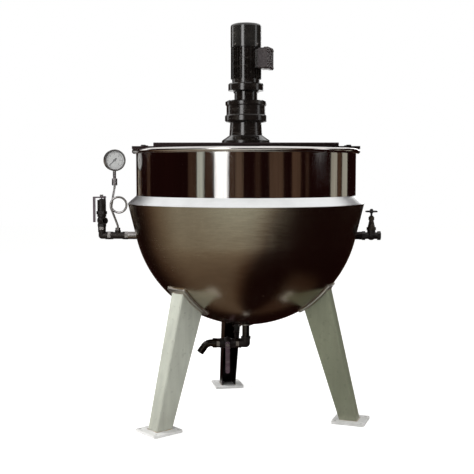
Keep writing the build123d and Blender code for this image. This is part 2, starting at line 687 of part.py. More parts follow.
def reducer_bolts():
    """Bolts of the reducer's foot, of its ring and covers, and of the motor's flange."""
    foot = hex_bolt(FLANGE_BOLT_R, BRIDGE_TOP_Z - BRIDGE_SHEET, BRIDGE_TOP_Z + HOUSING_FOOT_T)
    through = hex_bolt(FLANGE_BOLT_R, *ring_bolt_span())
    motor = hex_bolt(FLANGE_BOLT_R, *motor_bolt_span())
    bolts = [place * Pos(FOOT_BOLT_CIRCLE_R, 0) * foot for place in turned_about_z(FOOT_BOLTS)]
    bolts += [place * Pos(FLANGE_BOLT_CIRCLE_R, 0) * through
              for place in turned_about_z(FLANGE_BOLTS, FLANGE_BOLT_TURN)]
    bolts += [place * Pos(MOTOR_BOLT_CIRCLE_R, 0) * motor
              for place in turned_about_z(MOTOR_BOLTS, 180 / MOTOR_BOLTS)]
    return bolts


# ================================================================ motor
def motor_flange_shield():
    """Drive-end shield of the motor, with its mounting flange."""
    seat_low = MOTOR_BASE_Z - MOTOR_BEARING_T
    shield = lathe(
        (MOTOR_BEARING_R - 4, MOTOR_FLANGE_Z),
        (ADAPTER_FLANGE_R, MOTOR_FLANGE_Z),
        (ADAPTER_FLANGE_R, SHIELD_BASE_Z - FLANGE_CHAMFER),
        (ADAPTER_FLANGE_R - FLANGE_CHAMFER, SHIELD_BASE_Z),
        (SHIELD_R, SHIELD_BASE_Z),
        (SHIELD_R, MOTOR_BASE_Z),
        (MOTOR_BEARING_R, MOTOR_BASE_Z),
        (MOTOR_BEARING_R, seat_low),
        (MOTOR_BEARING_R - 4, seat_low),
    )
    _, high = motor_bolt_span()
    for place in turned_about_z(MOTOR_BOLTS, 180 / MOTOR_BOLTS):
        hole = rod(FLANGE_BOLT_R, MOTOR_FLANGE_Z, high) + rod(BOLT_SEAT_R, high, SHIELD_BASE_Z)
        shield -= place * Pos(MOTOR_BOLT_CIRCLE_R, 0) * hole
    return shield


def motor_frame():
    """Ribbed motor housing together with its stator pack."""
    frame = rod(MOTOR_CORE_R, MOTOR_BASE_Z, MOTOR_TOP_Z)
    frame -= rod(MOTOR_BORE_R, MOTOR_BASE_Z, MOTOR_TOP_Z)
    fin = slab(MOTOR_CORE_R - 2, MOTOR_FIN_R, -MOTOR_FIN_T / 2, MOTOR_FIN_T / 2,
               MOTOR_BASE_Z + 3, MOTOR_TOP_Z - COVER_OVERLAP - 3)
    for place in turned_about_z(MOTOR_FINS, 360 / MOTOR_FINS / 2):
        frame += place * fin
    base = Rot(0, 0, BOX_TURN) * slab(
        MOTOR_CORE_R - 6, BOX_BASE_IN, -BOX_WIDTH / 2 + 8, BOX_WIDTH / 2 - 8,
        BOX_CENTRE_Z - BOX_HEIGHT / 2 + 8, BOX_CENTRE_Z + BOX_HEIGHT / 2 - 8)
    return frame + base


def motor_rear_shield():
    """Fan-end shield of the motor, with lugs that carry the fan cover."""
    shield = lathe(
        (ROTOR_SHAFT_R + 2, REAR_SHIELD_TOP_Z),
        (MOTOR_CORE_R - 2, REAR_SHIELD_TOP_Z),
        (MOTOR_CORE_R, REAR_SHIELD_TOP_Z - 2),
        (MOTOR_CORE_R, MOTOR_TOP_Z),
        (MOTOR_BEARING_R, MOTOR_TOP_Z),
        (MOTOR_BEARING_R, REAR_SHIELD_TOP_Z - 2),
        (ROTOR_SHAFT_R + 2, REAR_SHIELD_TOP_Z - 2),
    )
    lug = slab(MOTOR_CORE_R - 8, COVER_R, -REAR_LUG_WIDTH / 2, REAR_LUG_WIDTH / 2,
               MOTOR_TOP_Z, REAR_SHIELD_TOP_Z - 2)
    lug &= rod(COVER_R - COVER_SHEET, MOTOR_TOP_Z, REAR_SHIELD_TOP_Z)
    for place in turned_about_z(REAR_LUGS, 45):
        shield += place * lug
    return shield


def fan_cover():
    """Pressed cover over the fan, with rings of air slots in its crown."""
    outer = rod(COVER_R, COVER_BASE_Z, COVER_TOP_Z)
    outer = fillet(outer.edges().group_by(Axis.Z)[-1], COVER_CORNER_R)
    inner = rod(COVER_R - COVER_SHEET, COVER_BASE_Z - 1, COVER_TOP_Z - COVER_SHEET)
    inner = fillet(inner.edges().group_by(Axis.Z)[-1], COVER_CORNER_R - COVER_SHEET)
    cover = outer - inner
    ribs = slab(-COVER_R, COVER_R, -COVER_RIB / 2, COVER_RIB / 2, 0, COVER_TOP_Z + 1)
    ribs += Rot(0, 0, 90) * ribs
    for low, high in COVER_SLOTS:
        cover -= pipe(high, low, COVER_TOP_Z - COVER_SHEET - 1, COVER_TOP_Z + 1) - ribs
    return cover


def box_block(inner, outer, shrink):
    """Rounded block on the motor's side, between two distances from its axis."""
    face = RectangleRounded(BOX_HEIGHT - 2 * shrink, BOX_WIDTH - 2 * shrink, BOX_CORNER - shrink)
    block = extrude(face, outer - inner)
    return Rot(0, 0, BOX_TURN) * Pos(inner, 0, BOX_CENTRE_Z) * ALONG_X * block


def box_inlet():
    """Frame of the cable inlet: its local Z runs out through the box's rear side."""
    return Rot(0, 0, BOX_TURN) * Pos(BOX_INLET_OUT, 0, BOX_CENTRE_Z) * Rot(-90, 0, 0)


def terminal_box():
    """Lower part of the terminal box, with the cable inlet in its rear side."""
    box = box_block(BOX_BASE_IN, BOX_BASE_OUT, BOX_WALL)
    box -= box_block(BOX_BASE_IN + BOX_WALL, BOX_BASE_OUT, 2 * BOX_WALL)
    return box - box_inlet() * rod(GLAND_R * 0.7, 0, BOX_WIDTH)


def terminal_box_lid():
    """Cover of the terminal box with a stepped edge."""
    return box_block(BOX_BASE_OUT, BOX_LID_OUT, 0)


def cable_gland():
    """Gland in the terminal box's rear side, with no cable."""
    face = BOX_WIDTH / 2 - BOX_WALL
    gland = rod(GLAND_R * 0.7, face - BOX_WALL, face) + hexagon(GLAND_R * 2, face, face + GLAND_HEX)
    gland += rod(GLAND_R * 0.85, face + GLAND_HEX, face + GLAND_HEX + GLAND_TAIL)
    gland -= rod(GLAND_BORE_R, face - BOX_WALL, face + GLAND_HEX + GLAND_TAIL)
    return box_inlet() * gland


def motor_rotor():
    """Motor shaft with its rotor pack and, at the foot, the reducer's eccentric."""
    top = REAR_SHIELD_TOP_Z + FAN_HEIGHT + 14
    foot = RING_BASE_Z + 6
    shaft = rod(ROTOR_SHAFT_R, foot, top)
    core_low = MOTOR_BASE_Z + ROTOR_CORE_UP
    shaft += rod(ROTOR_CORE_R, core_low, core_low + ROTOR_CORE_LENGTH)
    shaft += Pos(ECCENTRICITY, 0) * rod(ECCENTRIC_R, foot + 4, RING_TOP_Z - 8)
    return shaft


def cooling_fan():
    """Radial fan on the shaft's free end."""
    low = REAR_SHIELD_TOP_Z + 8
    fan = rod(FAN_HUB_R, low, low + FAN_HEIGHT) + rod(FAN_R, low, low + 2.5)
    blade = slab(FAN_HUB_R - 2, FAN_R, -1.5, 1.5, low, low + FAN_HEIGHT)
    for place in turned_about_z(FAN_BLADES):
        fan += place * blade
    return fan - rod(ROTOR_SHAFT_R, low, low + FAN_HEIGHT)


def drive_bearings():
    """Ball bearings drawn as rings: two of the motor, two of the output shaft."""
    def ring(outer, inner, low, thickness):
        return pipe(outer, inner + RUN_CLEARANCE, low, low + thickness)
    upper = RING_BASE_Z - CARRIER_T - 6 - OUTPUT_BEARING_T
    lower = BRIDGE_TOP_Z + HOUSING_FOOT_T
    return [
        ring(MOTOR_BEARING_R, ROTOR_SHAFT_R, MOTOR_BASE_Z - MOTOR_BEARING_T, MOTOR_BEARING_T),
        ring(MOTOR_BEARING_R, ROTOR_SHAFT_R, MOTOR_TOP_Z, REAR_SHIELD_T - 2),
        ring(OUTPUT_BEARING_R, OUTPUT_SHAFT_R, upper, OUTPUT_BEARING_T),
        ring(OUTPUT_BEARING_R, OUTPUT_SHAFT_R, lower, OUTPUT_BEARING_T),
    ]


# ================================================================ agitator
def coupling_span():
    """Lowest and highest point of the shaft coupling under the beam."""
    top = RIM_TOP_Z - COUPLING_DROP
    return top - COUPLING_LENGTH, top


def output_shaft():
    """Slow shaft of the reducer: carrier disc with drive pins, then the shaft down to the coupling."""
    low, high = coupling_span()
    shaft = rod(OUTPUT_SHAFT_R, (low + high) / 2, RING_BASE_Z - CARRIER_T)
    shaft += rod(CARRIER_R, RING_BASE_Z - CARRIER_T, RING_BASE_Z)
    for place in turned_about_z(CARRIER_PINS):
        shaft += place * Pos(CARRIER_PIN_CIRCLE_R, 0) * rod(CARRIER_PIN_R, RING_BASE_Z, RING_TOP_Z - 10)
    return shaft


def shaft_coupling():
    """Muff coupling that joins the output shaft to the agitator's shaft."""
    low, high = coupling_span()
    middle = (low + high) / 2
    muff = rod(COUPLING_R, low, high)
    muff = chamfer(muff.edges().filter_by(GeomType.CIRCLE), 3)
    muff -= rod(OUTPUT_SHAFT_R, middle, high) + rod(AGITATOR_SHAFT_R, low, middle)
    for z in (low + COUPLING_LENGTH / 4, high - COUPLING_LENGTH / 4):
        for place in turned_about_z(2, 90):
            screw = Pos(0, 0, z) * ALONG_X * hexagon(13, COUPLING_R - 2, COUPLING_R + 6)
            muff += place * screw
    return muff


def agitator_shaft():
    """Stainless shaft down the middle of the bowl."""
    low, high = coupling_span()
    return rod(AGITATOR_SHAFT_R, AGITATOR_SHAFT_FOOT_Z, (low + high) / 2)


def u_band(outer_r, inner_r, top_z):
    """Flat U that follows the bowl: half ring and two straight sides, drawn in the XZ plane."""
    ring = Circle(outer_r) - Circle(inner_r)
    lower = ring & (Pos(0, -outer_r) * Rectangle(2 * outer_r, 2 * outer_r))
    height = top_z - BOWL_CENTRE_Z
    side = Rectangle(outer_r - inner_r, height, align=(Align.MIN, Align.MIN))
    return lower + Pos(inner_r, 0) * side + Pos(-outer_r, 0) * side


def bar_in_xz(face, y_low, y_high):
    """Extrudes a face drawn about the bowl's centre into a plate between two y values."""
    plate = extrude(face, y_high - y_low)
    return Pos(0, y_high, BOWL_CENTRE_Z) * Rot(90, 0, 0) * plate


def anchor_frame():
    """Anchor bar that sweeps along the bowl's wall, with the foot hub of the shaft."""
    outer = KETTLE_INNER_R - ANCHOR_GAP
    band = u_band(outer, outer - ANCHOR_BAR, ANCHOR_TOP_Z)
    frame = bar_in_xz(band, -ANCHOR_T / 2, ANCHOR_T / 2)
    hub_low = BOWL_CENTRE_Z - outer + ANCHOR_BAR / 2
    frame += rod(CROSS_HUB_R, hub_low, AGITATOR_SHAFT_FOOT_Z + CROSS_HUB_LENGTH)
    for place, shank in wiper_bolt_places(WIPER_BOLT_R):
        frame -= place * shank
        frame -= Rot(0, 0, 180) * place * shank
    return frame - rod(AGITATOR_SHAFT_R, AGITATOR_SHAFT_FOOT_Z, ANCHOR_TOP_Z)


def cross_arm(z):
    """Round cross arm from wall bar to wall bar, through a hub on the shaft."""
    bar_inner = KETTLE_INNER_R - ANCHOR_GAP - ANCHOR_BAR
    reach = sqrt(bar_inner ** 2 - min(0, z - BOWL_CENTRE_Z) ** 2)
    arm = Pos(0, 0, z) * ALONG_X * rod(CROSS_ARM_R, -reach - CROSS_ARM_R, reach + CROSS_ARM_R)
    arm += rod(CROSS_HUB_R, z - CROSS_HUB_LENGTH / 2, z + CROSS_HUB_LENGTH / 2)
    arm -= rod(AGITATOR_SHAFT_R, AGITATOR_SHAFT_FOOT_Z, RIM_Z)
    return arm - anchor_frame()


def wiper_blades():
    """Plastic wipers bolted to the leading face of the anchor, one set on each side."""
    outer = KETTLE_INNER_R - WIPER_GAP
    inner = outer - WIPER_WIDTH
    low, high = ANCHOR_T / 2, ANCHOR_T / 2 + WIPER_T
    blades = []
    for start, stop in WIPER_SPANS:
        outline = [
            CenterArc((0, 0), outer, start, stop - start),
            CenterArc((0, 0), inner, start, stop - start),
            Line((inner * cos(radians(start)), inner * sin(radians(start))),
                 (outer * cos(radians(start)), outer * sin(radians(start)))),
            Line((inner * cos(radians(stop)), inner * sin(radians(stop))),
                 (outer * cos(radians(stop)), outer * sin(radians(stop)))),
        ]
        blades.append(bar_in_xz(make_face(outline), -high, -low))
    top_low, top_high = (z - BOWL_CENTRE_Z for z in WIPER_TOP_SPAN)
    upright = Pos(inner, top_low) * Rectangle(WIPER_WIDTH, top_high - top_low, align=(Align.MIN, Align.MIN))
    blades.append(bar_in_xz(upright, -high, -low))
    holes = [place * tool for place, tool in wiper_bolt_places(WIPER_BOLT_R)]
    cut = []
    for blade in blades:
        for hole in holes:
            blade -= hole
        cut.append(blade)
    return cut + [Rot(0, 0, 180) * blade for blade in cut]


def wiper_bolt_places(radius):
    """Placement and shank of each bolt of one side's wipers."""
    reach = KETTLE_INNER_R - ANCHOR_GAP - ANCHOR_BAR * 0.4
    shank = Rot(90, 0, 0) * rod(radius, -ANCHOR_T / 2, ANCHOR_T / 2 + WIPER_T)
    spots = []
    for start, stop in WIPER_SPANS:
        for share in (0.22, 0.78):
            angle = radians(start + (stop - start) * share)
            spots.append((reach * cos(angle), BOWL_CENTRE_Z + reach * sin(angle)))
    low, high = WIPER_TOP_SPAN
    for share in (0.2, 0.8):
        spots.append((reach, low + (high - low) * share))
    return [(Pos(x, 0, z), shank) for x, z in spots]


def wiper_bolts():
    """Bolts through the wipers and the anchor bar."""
    bolt = Rot(90, 0, 0) * hex_bolt(WIPER_BOLT_R, -ANCHOR_T / 2, ANCHOR_T / 2 + WIPER_T)
    one_side = [place * bolt for place, _ in wiper_bolt_places(WIPER_BOLT_R)]
    return one_side + [Rot(0, 0, 180) * b for b in one_side]


# ================================================================ screwed fittings
def nipple(hex_low, flats, thread_r, bore_r):
    """Hexagon nipple on the Z axis whose hexagon starts at hex_low."""
    low, high = hex_low - THREAD_DEPTH, hex_low + HEX_LENGTH + THREAD_DEPTH
    body = hexagon(flats, hex_low, hex_low + HEX_LENGTH) + rod(thread_r, low, high)
    return body - rod(bore_r, low, high)


def banded_end(half, body_r, band_r):
    """Outside of one end of a cast fitting, from its centre outwards along Z."""
    return rod(body_r, 0, half) + rod(band_r, half - BAND_LENGTH, half)


def end_bore(half, bore_r, thread_r):
    """Inside of one end of a cast fitting."""
    return rod(bore_r, 0, half) + rod(thread_r, half - THREAD_DEPTH, half)


def elbow(half, body_r, band_r, bore_r, thread_r, first, second):
    """Right-angled banded elbow about its centre, with ends along two directions."""
    outside = Sphere(body_r)
    inside = Sphere(bore_r)
    for direction in (first, second):
        outside += direction * banded_end(half, body_r, band_r)
        inside += direction * end_bore(half, bore_r, thread_r)
    return outside - inside


def weld_sockets():
    """Half couplings welded to the jacket for gauge, steam and condensate."""
    gauge = Pos(0, 0, SERVICE_Z) * ALONG_MINUS_X * socket_tube(GAUGE_SOCKET_END)
    steam = Pos(0, 0, SERVICE_Z) * ALONG_X * socket_tube(STEAM_SOCKET_END)
    top = JACKET_SPHERE_Z - JACKET_SPHERE_R / 2
    drain = pipe(DRAIN_SOCKET_R, DRAIN_BORE_R, drain_socket_end(), top)
    drain -= rod(DRAIN_TAIL_R, drain_socket_end(), drain_socket_end() + THREAD_DEPTH)
    drain = Pos(DRAIN_X, DRAIN_Y) * drain
    return [(piece - JACKET_OUTSIDE).solids().sort_by(Axis.Z)[0] for piece in (gauge, steam, drain)]


def socket_tube(end):
    """Half coupling on the Z axis whose outer face is at end."""
    tube = pipe(SOCKET_R, PIPE_BORE_R, JACKET_SPHERE_R / 2, end)
    return tube - rod(THREAD_R, end - THREAD_DEPTH, end)


def pipe_nipples():
    """All hexagon nipples between the screwed fittings."""
    at = Pos(0, 0, SERVICE_Z)
    small = (HEX_FLATS, THREAD_R, PIPE_BORE_R)
    large = (OUTLET_HEX_FLATS, OUTLET_TUBE_R, OUTLET_TUBE_R - OUTLET_TUBE_WALL)
    low = Pos(0, 0, OUTLET_Z)
    return [
        at * ALONG_MINUS_X * nipple(GAUGE_SOCKET_END, *small),
        at * ALONG_MINUS_X * nipple(-TEE_X + TEE_HALF, *small),
        Pos(ELBOW_X, 0) * nipple(SERVICE_Z + ELBOW_HALF, *small),
        at * ALONG_X * nipple(STEAM_SOCKET_END, *small),
        low * ALONG_MINUS_X * nipple(OUTLET_ELBOW_HALF, *large),
        low * ALONG_MINUS_X * nipple(-BALL_X + BALL_BODY_HALF, *large),
    ]


def gauge_tee():
    """Tee whose branch carries the gauge's syphon."""
    outside = inside = None
    for direction in (ALONG_X, ALONG_MINUS_X):
        end = direction * banded_end(TEE_HALF, FITTING_R, BAND_R)
        bore = direction * end_bore(TEE_HALF, PIPE_BORE_R, THREAD_R)
        outside = end if outside is None else outside + end
        inside = bore if inside is None else inside + bore
    outside += rod(FITTING_R - 2, 0, TEE_BRANCH)
    inside += rod(SYPHON_TUBE_R, 0, TEE_BRANCH)
    return Pos(TEE_X, 0, SERVICE_Z) * (outside - inside)


def service_elbow():
    """Elbow that turns the line up to the safety valve."""
    bend = elbow(ELBOW_HALF, FITTING_R, BAND_R, PIPE_BORE_R, THREAD_R, ALONG_X, Rot(0, 0, 0))
    return Pos(ELBOW_X, 0, SERVICE_Z) * bend


# ================================================================ safety valve
def safety_outlet(radius, length):
    """Round bar along the safety valve's side outlet."""
    return Rot(0, 0, VALVE_OUTLET_TURN) * ALONG_X * rod(radius, 0, length)


def safety_valve_body():
    """Body with the inlet, the seat and the side outlet."""
    height = VALVE_BODY_HEIGHT
    outlet_up = height / 2
    body = hexagon(HEX_FLATS + 3, 0, HEX_LENGTH) + rod(VALVE_BODY_R - 4, HEX_LENGTH, height)
    body += Pos(0, 0, outlet_up) * Sphere(VALVE_BODY_R + 1)
    body += rod(VALVE_BODY_R, height - 12, height)
    end = Rot(0, 0, VALVE_OUTLET_TURN) * ALONG_X
    body += Pos(0, 0, outlet_up) * (
        safety_outlet(VALVE_OUTLET_R - 3, VALVE_OUTLET_REACH)
        + end * rod(VALVE_OUTLET_R, VALVE_OUTLET_REACH - BAND_LENGTH, VALVE_OUTLET_REACH))
    body -= rod(VALVE_SEAT_R, 0, VALVE_SEAT_UP) + rod(THREAD_R, 0, THREAD_DEPTH)
    body -= rod(VALVE_CHAMBER_R, VALVE_SEAT_UP, height)
    body -= Pos(0, 0, outlet_up) * (
        safety_outlet(VALVE_SEAT_R - 1, VALVE_OUTLET_REACH)
        + end * rod(VALVE_OUTLET_BORE_R, VALVE_OUTLET_REACH - VALVE_OUTLET_DEPTH, VALVE_OUTLET_REACH))
    return Pos(ELBOW_X, 0, SAFETY_BASE_Z) * body


def lever_height():
    """Height of the lever's plate and pivot above the bonnet's top."""
    return LEVER_T / 2 + 9.0


def safety_valve_bonnet():
    """Spring housing screwed into the body, with the lever's ear and pin on top."""
    bonnet = rod(BONNET_R, 0, BONNET_HEIGHT)
    bonnet += hexagon(BONNET_R * 2 + 3, 0, HEX_LENGTH)
    bonnet = bonnet + rod(SPINDLE_HEAD_R + 3, BONNET_HEIGHT, BONNET_HEIGHT + 5)
    ear_top = BONNET_HEIGHT + lever_height() + LEVER_PIN_R + 3
    ear = slab(LEVER_PIVOT_X - 5, LEVER_PIVOT_X + 5, -LEVER_EAR_T / 2, LEVER_EAR_T / 2,
               BONNET_HEIGHT - 1, ear_top)
    pin = Pos(LEVER_PIVOT_X, 0, BONNET_HEIGHT + lever_height()) * Rot(90, 0, 0) * rod(
        LEVER_PIN_R, -LEVER_WIDTH / 2 - 1, LEVER_WIDTH / 2 + 1)
    bonnet += ear + pin
    bonnet -= rod(BONNET_BORE_R, 0, BONNET_HEIGHT - BONNET_TOP_T)
    bonnet -= rod(SPINDLE_R + RUN_CLEARANCE, 0, BONNET_HEIGHT + 5)
    return Pos(ELBOW_X, 0, SAFETY_TOP_Z) * bonnet


def safety_valve_spindle():
    """Spindle with the valve disc at its foot, the spring collar and the lifting head."""
    seat = SAFETY_BASE_Z + VALVE_SEAT_UP + RUN_CLEARANCE
    collar = SAFETY_TOP_Z - 10
    head = BONNET_TOP_Z + lever_height() + LEVER_T / 2 + 0.4
    spindle = rod(SPINDLE_DISC_R, seat, seat + 7) + rod(SPINDLE_R, seat, head + 9)
    spindle += rod(SPRING_COLLAR_R, collar, collar + 4) + rod(SPINDLE_HEAD_R, head, head + 9)
    return Pos(ELBOW_X, 0) * spindle


def safety_valve_spring():
    """Compression spring between the collar and the bonnet's crown."""
    low = SAFETY_TOP_Z - 6 + SPRING_WIRE_R + 0.3
    high = BONNET_TOP_Z - BONNET_TOP_T - SPRING_WIRE_R - 0.3
    path = Pos(0, 0, low) * Helix((high - low) / SPRING_TURNS, high - low, SPRING_MEAN_R)
    section = Plane(path @ 0, z_dir=path % 0) * Circle(SPRING_WIRE_R)
    return Pos(ELBOW_X, 0) * sweep(section, path=path)


def safety_valve_lever():
    """Test lever: a plate under the spindle's head that turns down beside the bonnet."""
    z = lever_height()
    half = LEVER_WIDTH / 2
    plate = slab(-LEVER_ARM_OUT, LEVER_PIVOT_X, -half, half, z - LEVER_T / 2, z + LEVER_T / 2)
    boss = Pos(LEVER_PIVOT_X, 0, z) * Rot(90, 0, 0) * rod(6, -half, half)
    arm = slab(-LEVER_ARM_OUT, -LEVER_ARM_OUT + LEVER_ARM_T, -half, half,
               z + LEVER_T / 2 - LEVER_ARM_LENGTH, z + LEVER_T / 2)
    lever = plate + boss + arm
    gap = LEVER_EAR_T / 2 + 0.5
    lever -= slab(LEVER_PIVOT_X - 8, LEVER_PIVOT_X + 8, -gap, gap, z - 8, z + 8)
    lever -= Pos(LEVER_PIVOT_X, 0, z) * Rot(90, 0, 0) * rod(LEVER_PIN_R + RUN_CLEARANCE, -half, half)
    slot = SPINDLE_R + 1.2
    for shift in (-2.0, 2.0):
        lever -= Pos(shift, 0) * rod(slot, z - LEVER_T, z + LEVER_T)
    return Pos(ELBOW_X, 0, BONNET_TOP_Z) * lever


# ================================================================ gauge
def syphon_route():
    """Corner points of the pigtail: up from the tee, one turn of coil, and up to the gauge."""
    centre_z = SERVICE_Z + SYPHON_COIL_UP
    centre_x = TEE_X + SYPHON_COIL_X
    step = 360.0 / SYPHON_SIDES
    corner_r = SYPHON_COIL_R / cos(radians(step / 2))
    points = [(TEE_X, 0, SERVICE_Z + TEE_BRANCH / 2), (TEE_X, 0, SERVICE_Z + TEE_BRANCH + 22)]
    for i in range(SYPHON_SIDES + 1):
        angle = radians(180 + step / 2 - step * i)
        y = SYPHON_PITCH * (i / SYPHON_SIDES)
        points.append((centre_x + corner_r * cos(angle), y, centre_z + corner_r * sin(angle)))
    nut_z = SERVICE_Z + GAUGE_UP - GAUGE_R - 66
    points.append((TEE_X + GAUGE_SHIFT, SYPHON_PITCH, nut_z - 8))
    points.append((TEE_X + GAUGE_SHIFT, SYPHON_PITCH, nut_z + 14))
    return points


def bend_radii(points):
    """Largest tangent radius at each corner of a route that its two runs leave room for."""
    radii = []
    for before, here, after in zip(points, points[1:], points[2:]):
        first = Vector(*here) - Vector(*before)
        second = Vector(*after) - Vector(*here)
        turn = radians(first.get_angle(second))
        radii.append(0.45 * min(first.length, second.length) / tan(turn / 2))
    return [min(r, SYPHON_COIL_R) for r in radii]


def syphon_tube():
    """Pigtail syphon that keeps hot steam out of the gauge."""
    points = syphon_route()
    path = FilletPolyline(*points, radius=bend_radii(points))
    section = Plane(path @ 0, z_dir=path % 0) * Circle(SYPHON_TUBE_R)
    tube = sweep(section, path=path)
    nut = Pos(TEE_X, 0) * hexagon(SYPHON_TUBE_R * 4, SERVICE_Z + TEE_BRANCH, SERVICE_Z + TEE_BRANCH + 12)
    return tube + nut


def gauge_place():
    """Frame of the gauge: local Z looks out of the dial, local Y is up."""
    return (Pos(TEE_X + GAUGE_SHIFT, SYPHON_PITCH, SERVICE_Z + GAUGE_UP)
            * Rot(0, 0, GAUGE_TURN) * Rot(90, 0, 0))


def gauge_case():
    """Round case with its bezel, stem and union nut."""
    back = -GAUGE_DEPTH / 2
    case = rod(GAUGE_R - 2, back, back + GAUGE_DEPTH) + rod(
        GAUGE_R, back + GAUGE_DEPTH - GAUGE_BEZEL, back + GAUGE_DEPTH)
    case -= rod(GAUGE_R - 2 - GAUGE_WALL, back + GAUGE_WALL, back + GAUGE_DEPTH)
    case -= rod(GAUGE_R - GAUGE_WALL - 1, back + GAUGE_DEPTH - 2.5, back + GAUGE_DEPTH)
    case = gauge_place() * case
    x, z = TEE_X + GAUGE_SHIFT, SERVICE_Z + GAUGE_UP
    nut_z = z - GAUGE_R - 66
    stem = rod(GAUGE_STEM_R, nut_z + 30, z - GAUGE_R + 3) + hexagon(GAUGE_NUT_FLATS, nut_z, nut_z + 32)
    stem -= rod(SYPHON_TUBE_R, nut_z, nut_z + 14)
    return case + Pos(x, SYPHON_PITCH) * stem


def gauge_dial():
    """Dial plate inside the case, with the pointer's arbor."""
    low = -GAUGE_DEPTH / 2 + 14
    dial = rod(GAUGE_R - 2 - GAUGE_WALL, low, low + 1.5) + rod(1.5, low + 1, low + 7)
    return gauge_place() * dial


def gauge_pointer():
    """Pointer with a counterweight tail, resting on zero."""
    low = -GAUGE_DEPTH / 2 + 14 + 1.5 + 1.5
    outline = Polyline((-POINTER_TAIL, -3), (0, -2.2), (POINTER_LENGTH, -0.5),
                       (POINTER_LENGTH, 0.5), (0, 2.2), (-POINTER_TAIL, 3), close=True)
    blade = extrude(make_face(outline.edges()) + Circle(5), 1.2)
    blade -= rod(1.5 + RUN_CLEARANCE, -1, 3)
    return gauge_place() * Pos(0, 0, low) * Rot(0, 0, POINTER_REST) * blade


def gauge_glass():
    """Flat glass held by the bezel."""
    top = GAUGE_DEPTH / 2
    return gauge_place() * rod(GAUGE_R - GAUGE_WALL - 1, top - 2.5, top - 0.5)


# ================================================================ steam inlet valve
def steam_valve_body():
    """Globe valve body with its seat wall between the two passages."""
    body = Sphere(GLOBE_R) + rod(GLOBE_NECK_R, 0, GLOBE_NECK_UP)
    for direction in (ALONG_X, ALONG_MINUS_X):
        body += direction * rod(GLOBE_R - 5, 0, GLOBE_HALF - 2)
        body += direction * hexagon(GLOBE_END_FLATS, GLOBE_HALF - GLOBE_END_LENGTH, GLOBE_HALF)
        body -= direction * rod(THREAD_R, GLOBE_HALF - THREAD_DEPTH, GLOBE_HALF)
    seat_low = -GLOBE_SEAT_T
    body -= rod(GLOBE_CHAMBER_R, 0, GLOBE_NECK_UP)
    body -= rod(GLOBE_SEAT_R, seat_low, 0)
    body -= rod(GLOBE_CHAMBER_R - 1, seat_low - 11, seat_low)
    passage = GLOBE_HALF - THREAD_DEPTH + 1
    body -= Pos(0, 0, 6.5) * ALONG_MINUS_X * rod(6, 0, passage)
    body -= Pos(0, 0, seat_low - 6) * ALONG_X * rod(5, 0, passage)
    return Pos(GLOBE_X, 0, SERVICE_Z) * body


def steam_valve_bonnet():
    """Bonnet screwed on the body, and the gland nut round the spindle."""
    hole = rod(GLOBE_STEM_R + RUN_CLEARANCE, GLOBE_NECK_UP, GLOBE_BONNET_UP + GLAND_NUT_HEIGHT)
    hex_top = GLOBE_NECK_UP + GLOBE_BONNET_HEX
    cone = lathe((0, hex_top), (GLOBE_BONNET_FLATS / 2, hex_top),
                 (GLOBE_BONNET_TOP_R, GLOBE_BONNET_UP), (0, GLOBE_BONNET_UP))
    bonnet = hexagon(GLOBE_BONNET_FLATS + 4, GLOBE_NECK_UP, hex_top) + cone - hole
    nut = hexagon(GLAND_NUT_FLATS, GLOBE_BONNET_UP, GLOBE_BONNET_UP + GLAND_NUT_HEIGHT - 5)
    nut += rod(GLAND_NUT_FLATS / 2 - 2, GLOBE_BONNET_UP, GLOBE_BONNET_UP + GLAND_NUT_HEIGHT)
    at = Pos(GLOBE_X, 0, SERVICE_Z)
    return [at * bonnet, at * (nut - hole)]


def steam_valve_disc():
    """Loose disc at the spindle's foot; it rises and falls without turning."""
    disc = rod(GLOBE_DISC_R, RUN_CLEARANCE, GLOBE_DISC_T) + rod(
        GLOBE_DISC_R - 2, GLOBE_DISC_T, GLOBE_DISC_T + 5)
    disc -= rod(GLOBE_STEM_R + RUN_CLEARANCE, GLOBE_DISC_T - 1, GLOBE_DISC_T + 5)
    return Pos(GLOBE_X, 0, SERVICE_Z) * disc


def steam_spindle():
    """Threaded spindle from the disc up to the handwheel."""
    spindle = rod(GLOBE_STEM_R, GLOBE_DISC_T - 0.7, HANDWHEEL_UP + 12)
    return Pos(GLOBE_X, 0, SERVICE_Z) * spindle


def steam_handwheel():
    """Dished handwheel with round rim, spokes and hub."""
    wheel = torus(HANDWHEEL_R, HANDWHEEL_RIM_R, HANDWHEEL_UP) + rod(8, HANDWHEEL_UP - 8, HANDWHEEL_UP + 4)
    spoke = Pos(0, 0, HANDWHEEL_UP - 2) * Rot(0, 88, 0) * rod(2.4, 5, HANDWHEEL_R)
    for place in turned_about_z(HANDWHEEL_SPOKES, 18):
        wheel += place * spoke
    wheel += hexagon(13, HANDWHEEL_UP + 4, HANDWHEEL_UP + 10)
    wheel -= rod(GLOBE_STEM_R, HANDWHEEL_UP - 10, HANDWHEEL_UP + 12)
    return Pos(GLOBE_X, 0, SERVICE_Z) * wheel


# ================================================================ discharge line
def outlet_tube():
    """Discharge tube from the bowl's lowest point through the jacket."""
    low = OUTLET_Z + OUTLET_ELBOW_HALF - THREAD_DEPTH
    tube = pipe(OUTLET_TUBE_R, OUTLET_TUBE_R - OUTLET_TUBE_WALL, low, BOWL_CENTRE_Z)
    tube -= bowl_solid(KETTLE_INNER_R, BOWL_CENTRE_Z, BOWL_CENTRE_Z + 1)
    return tube


def outlet_boss():
    """Welded ring that seals the tube to the jacket."""
    base = JACKET_SPHERE_Z - JACKET_SPHERE_R
    boss = pipe(OUTLET_BOSS_R, OUTLET_TUBE_R, base - OUTLET_BOSS_T, base + OUTLET_BOSS_T)
    return boss - JACKET_OUTSIDE


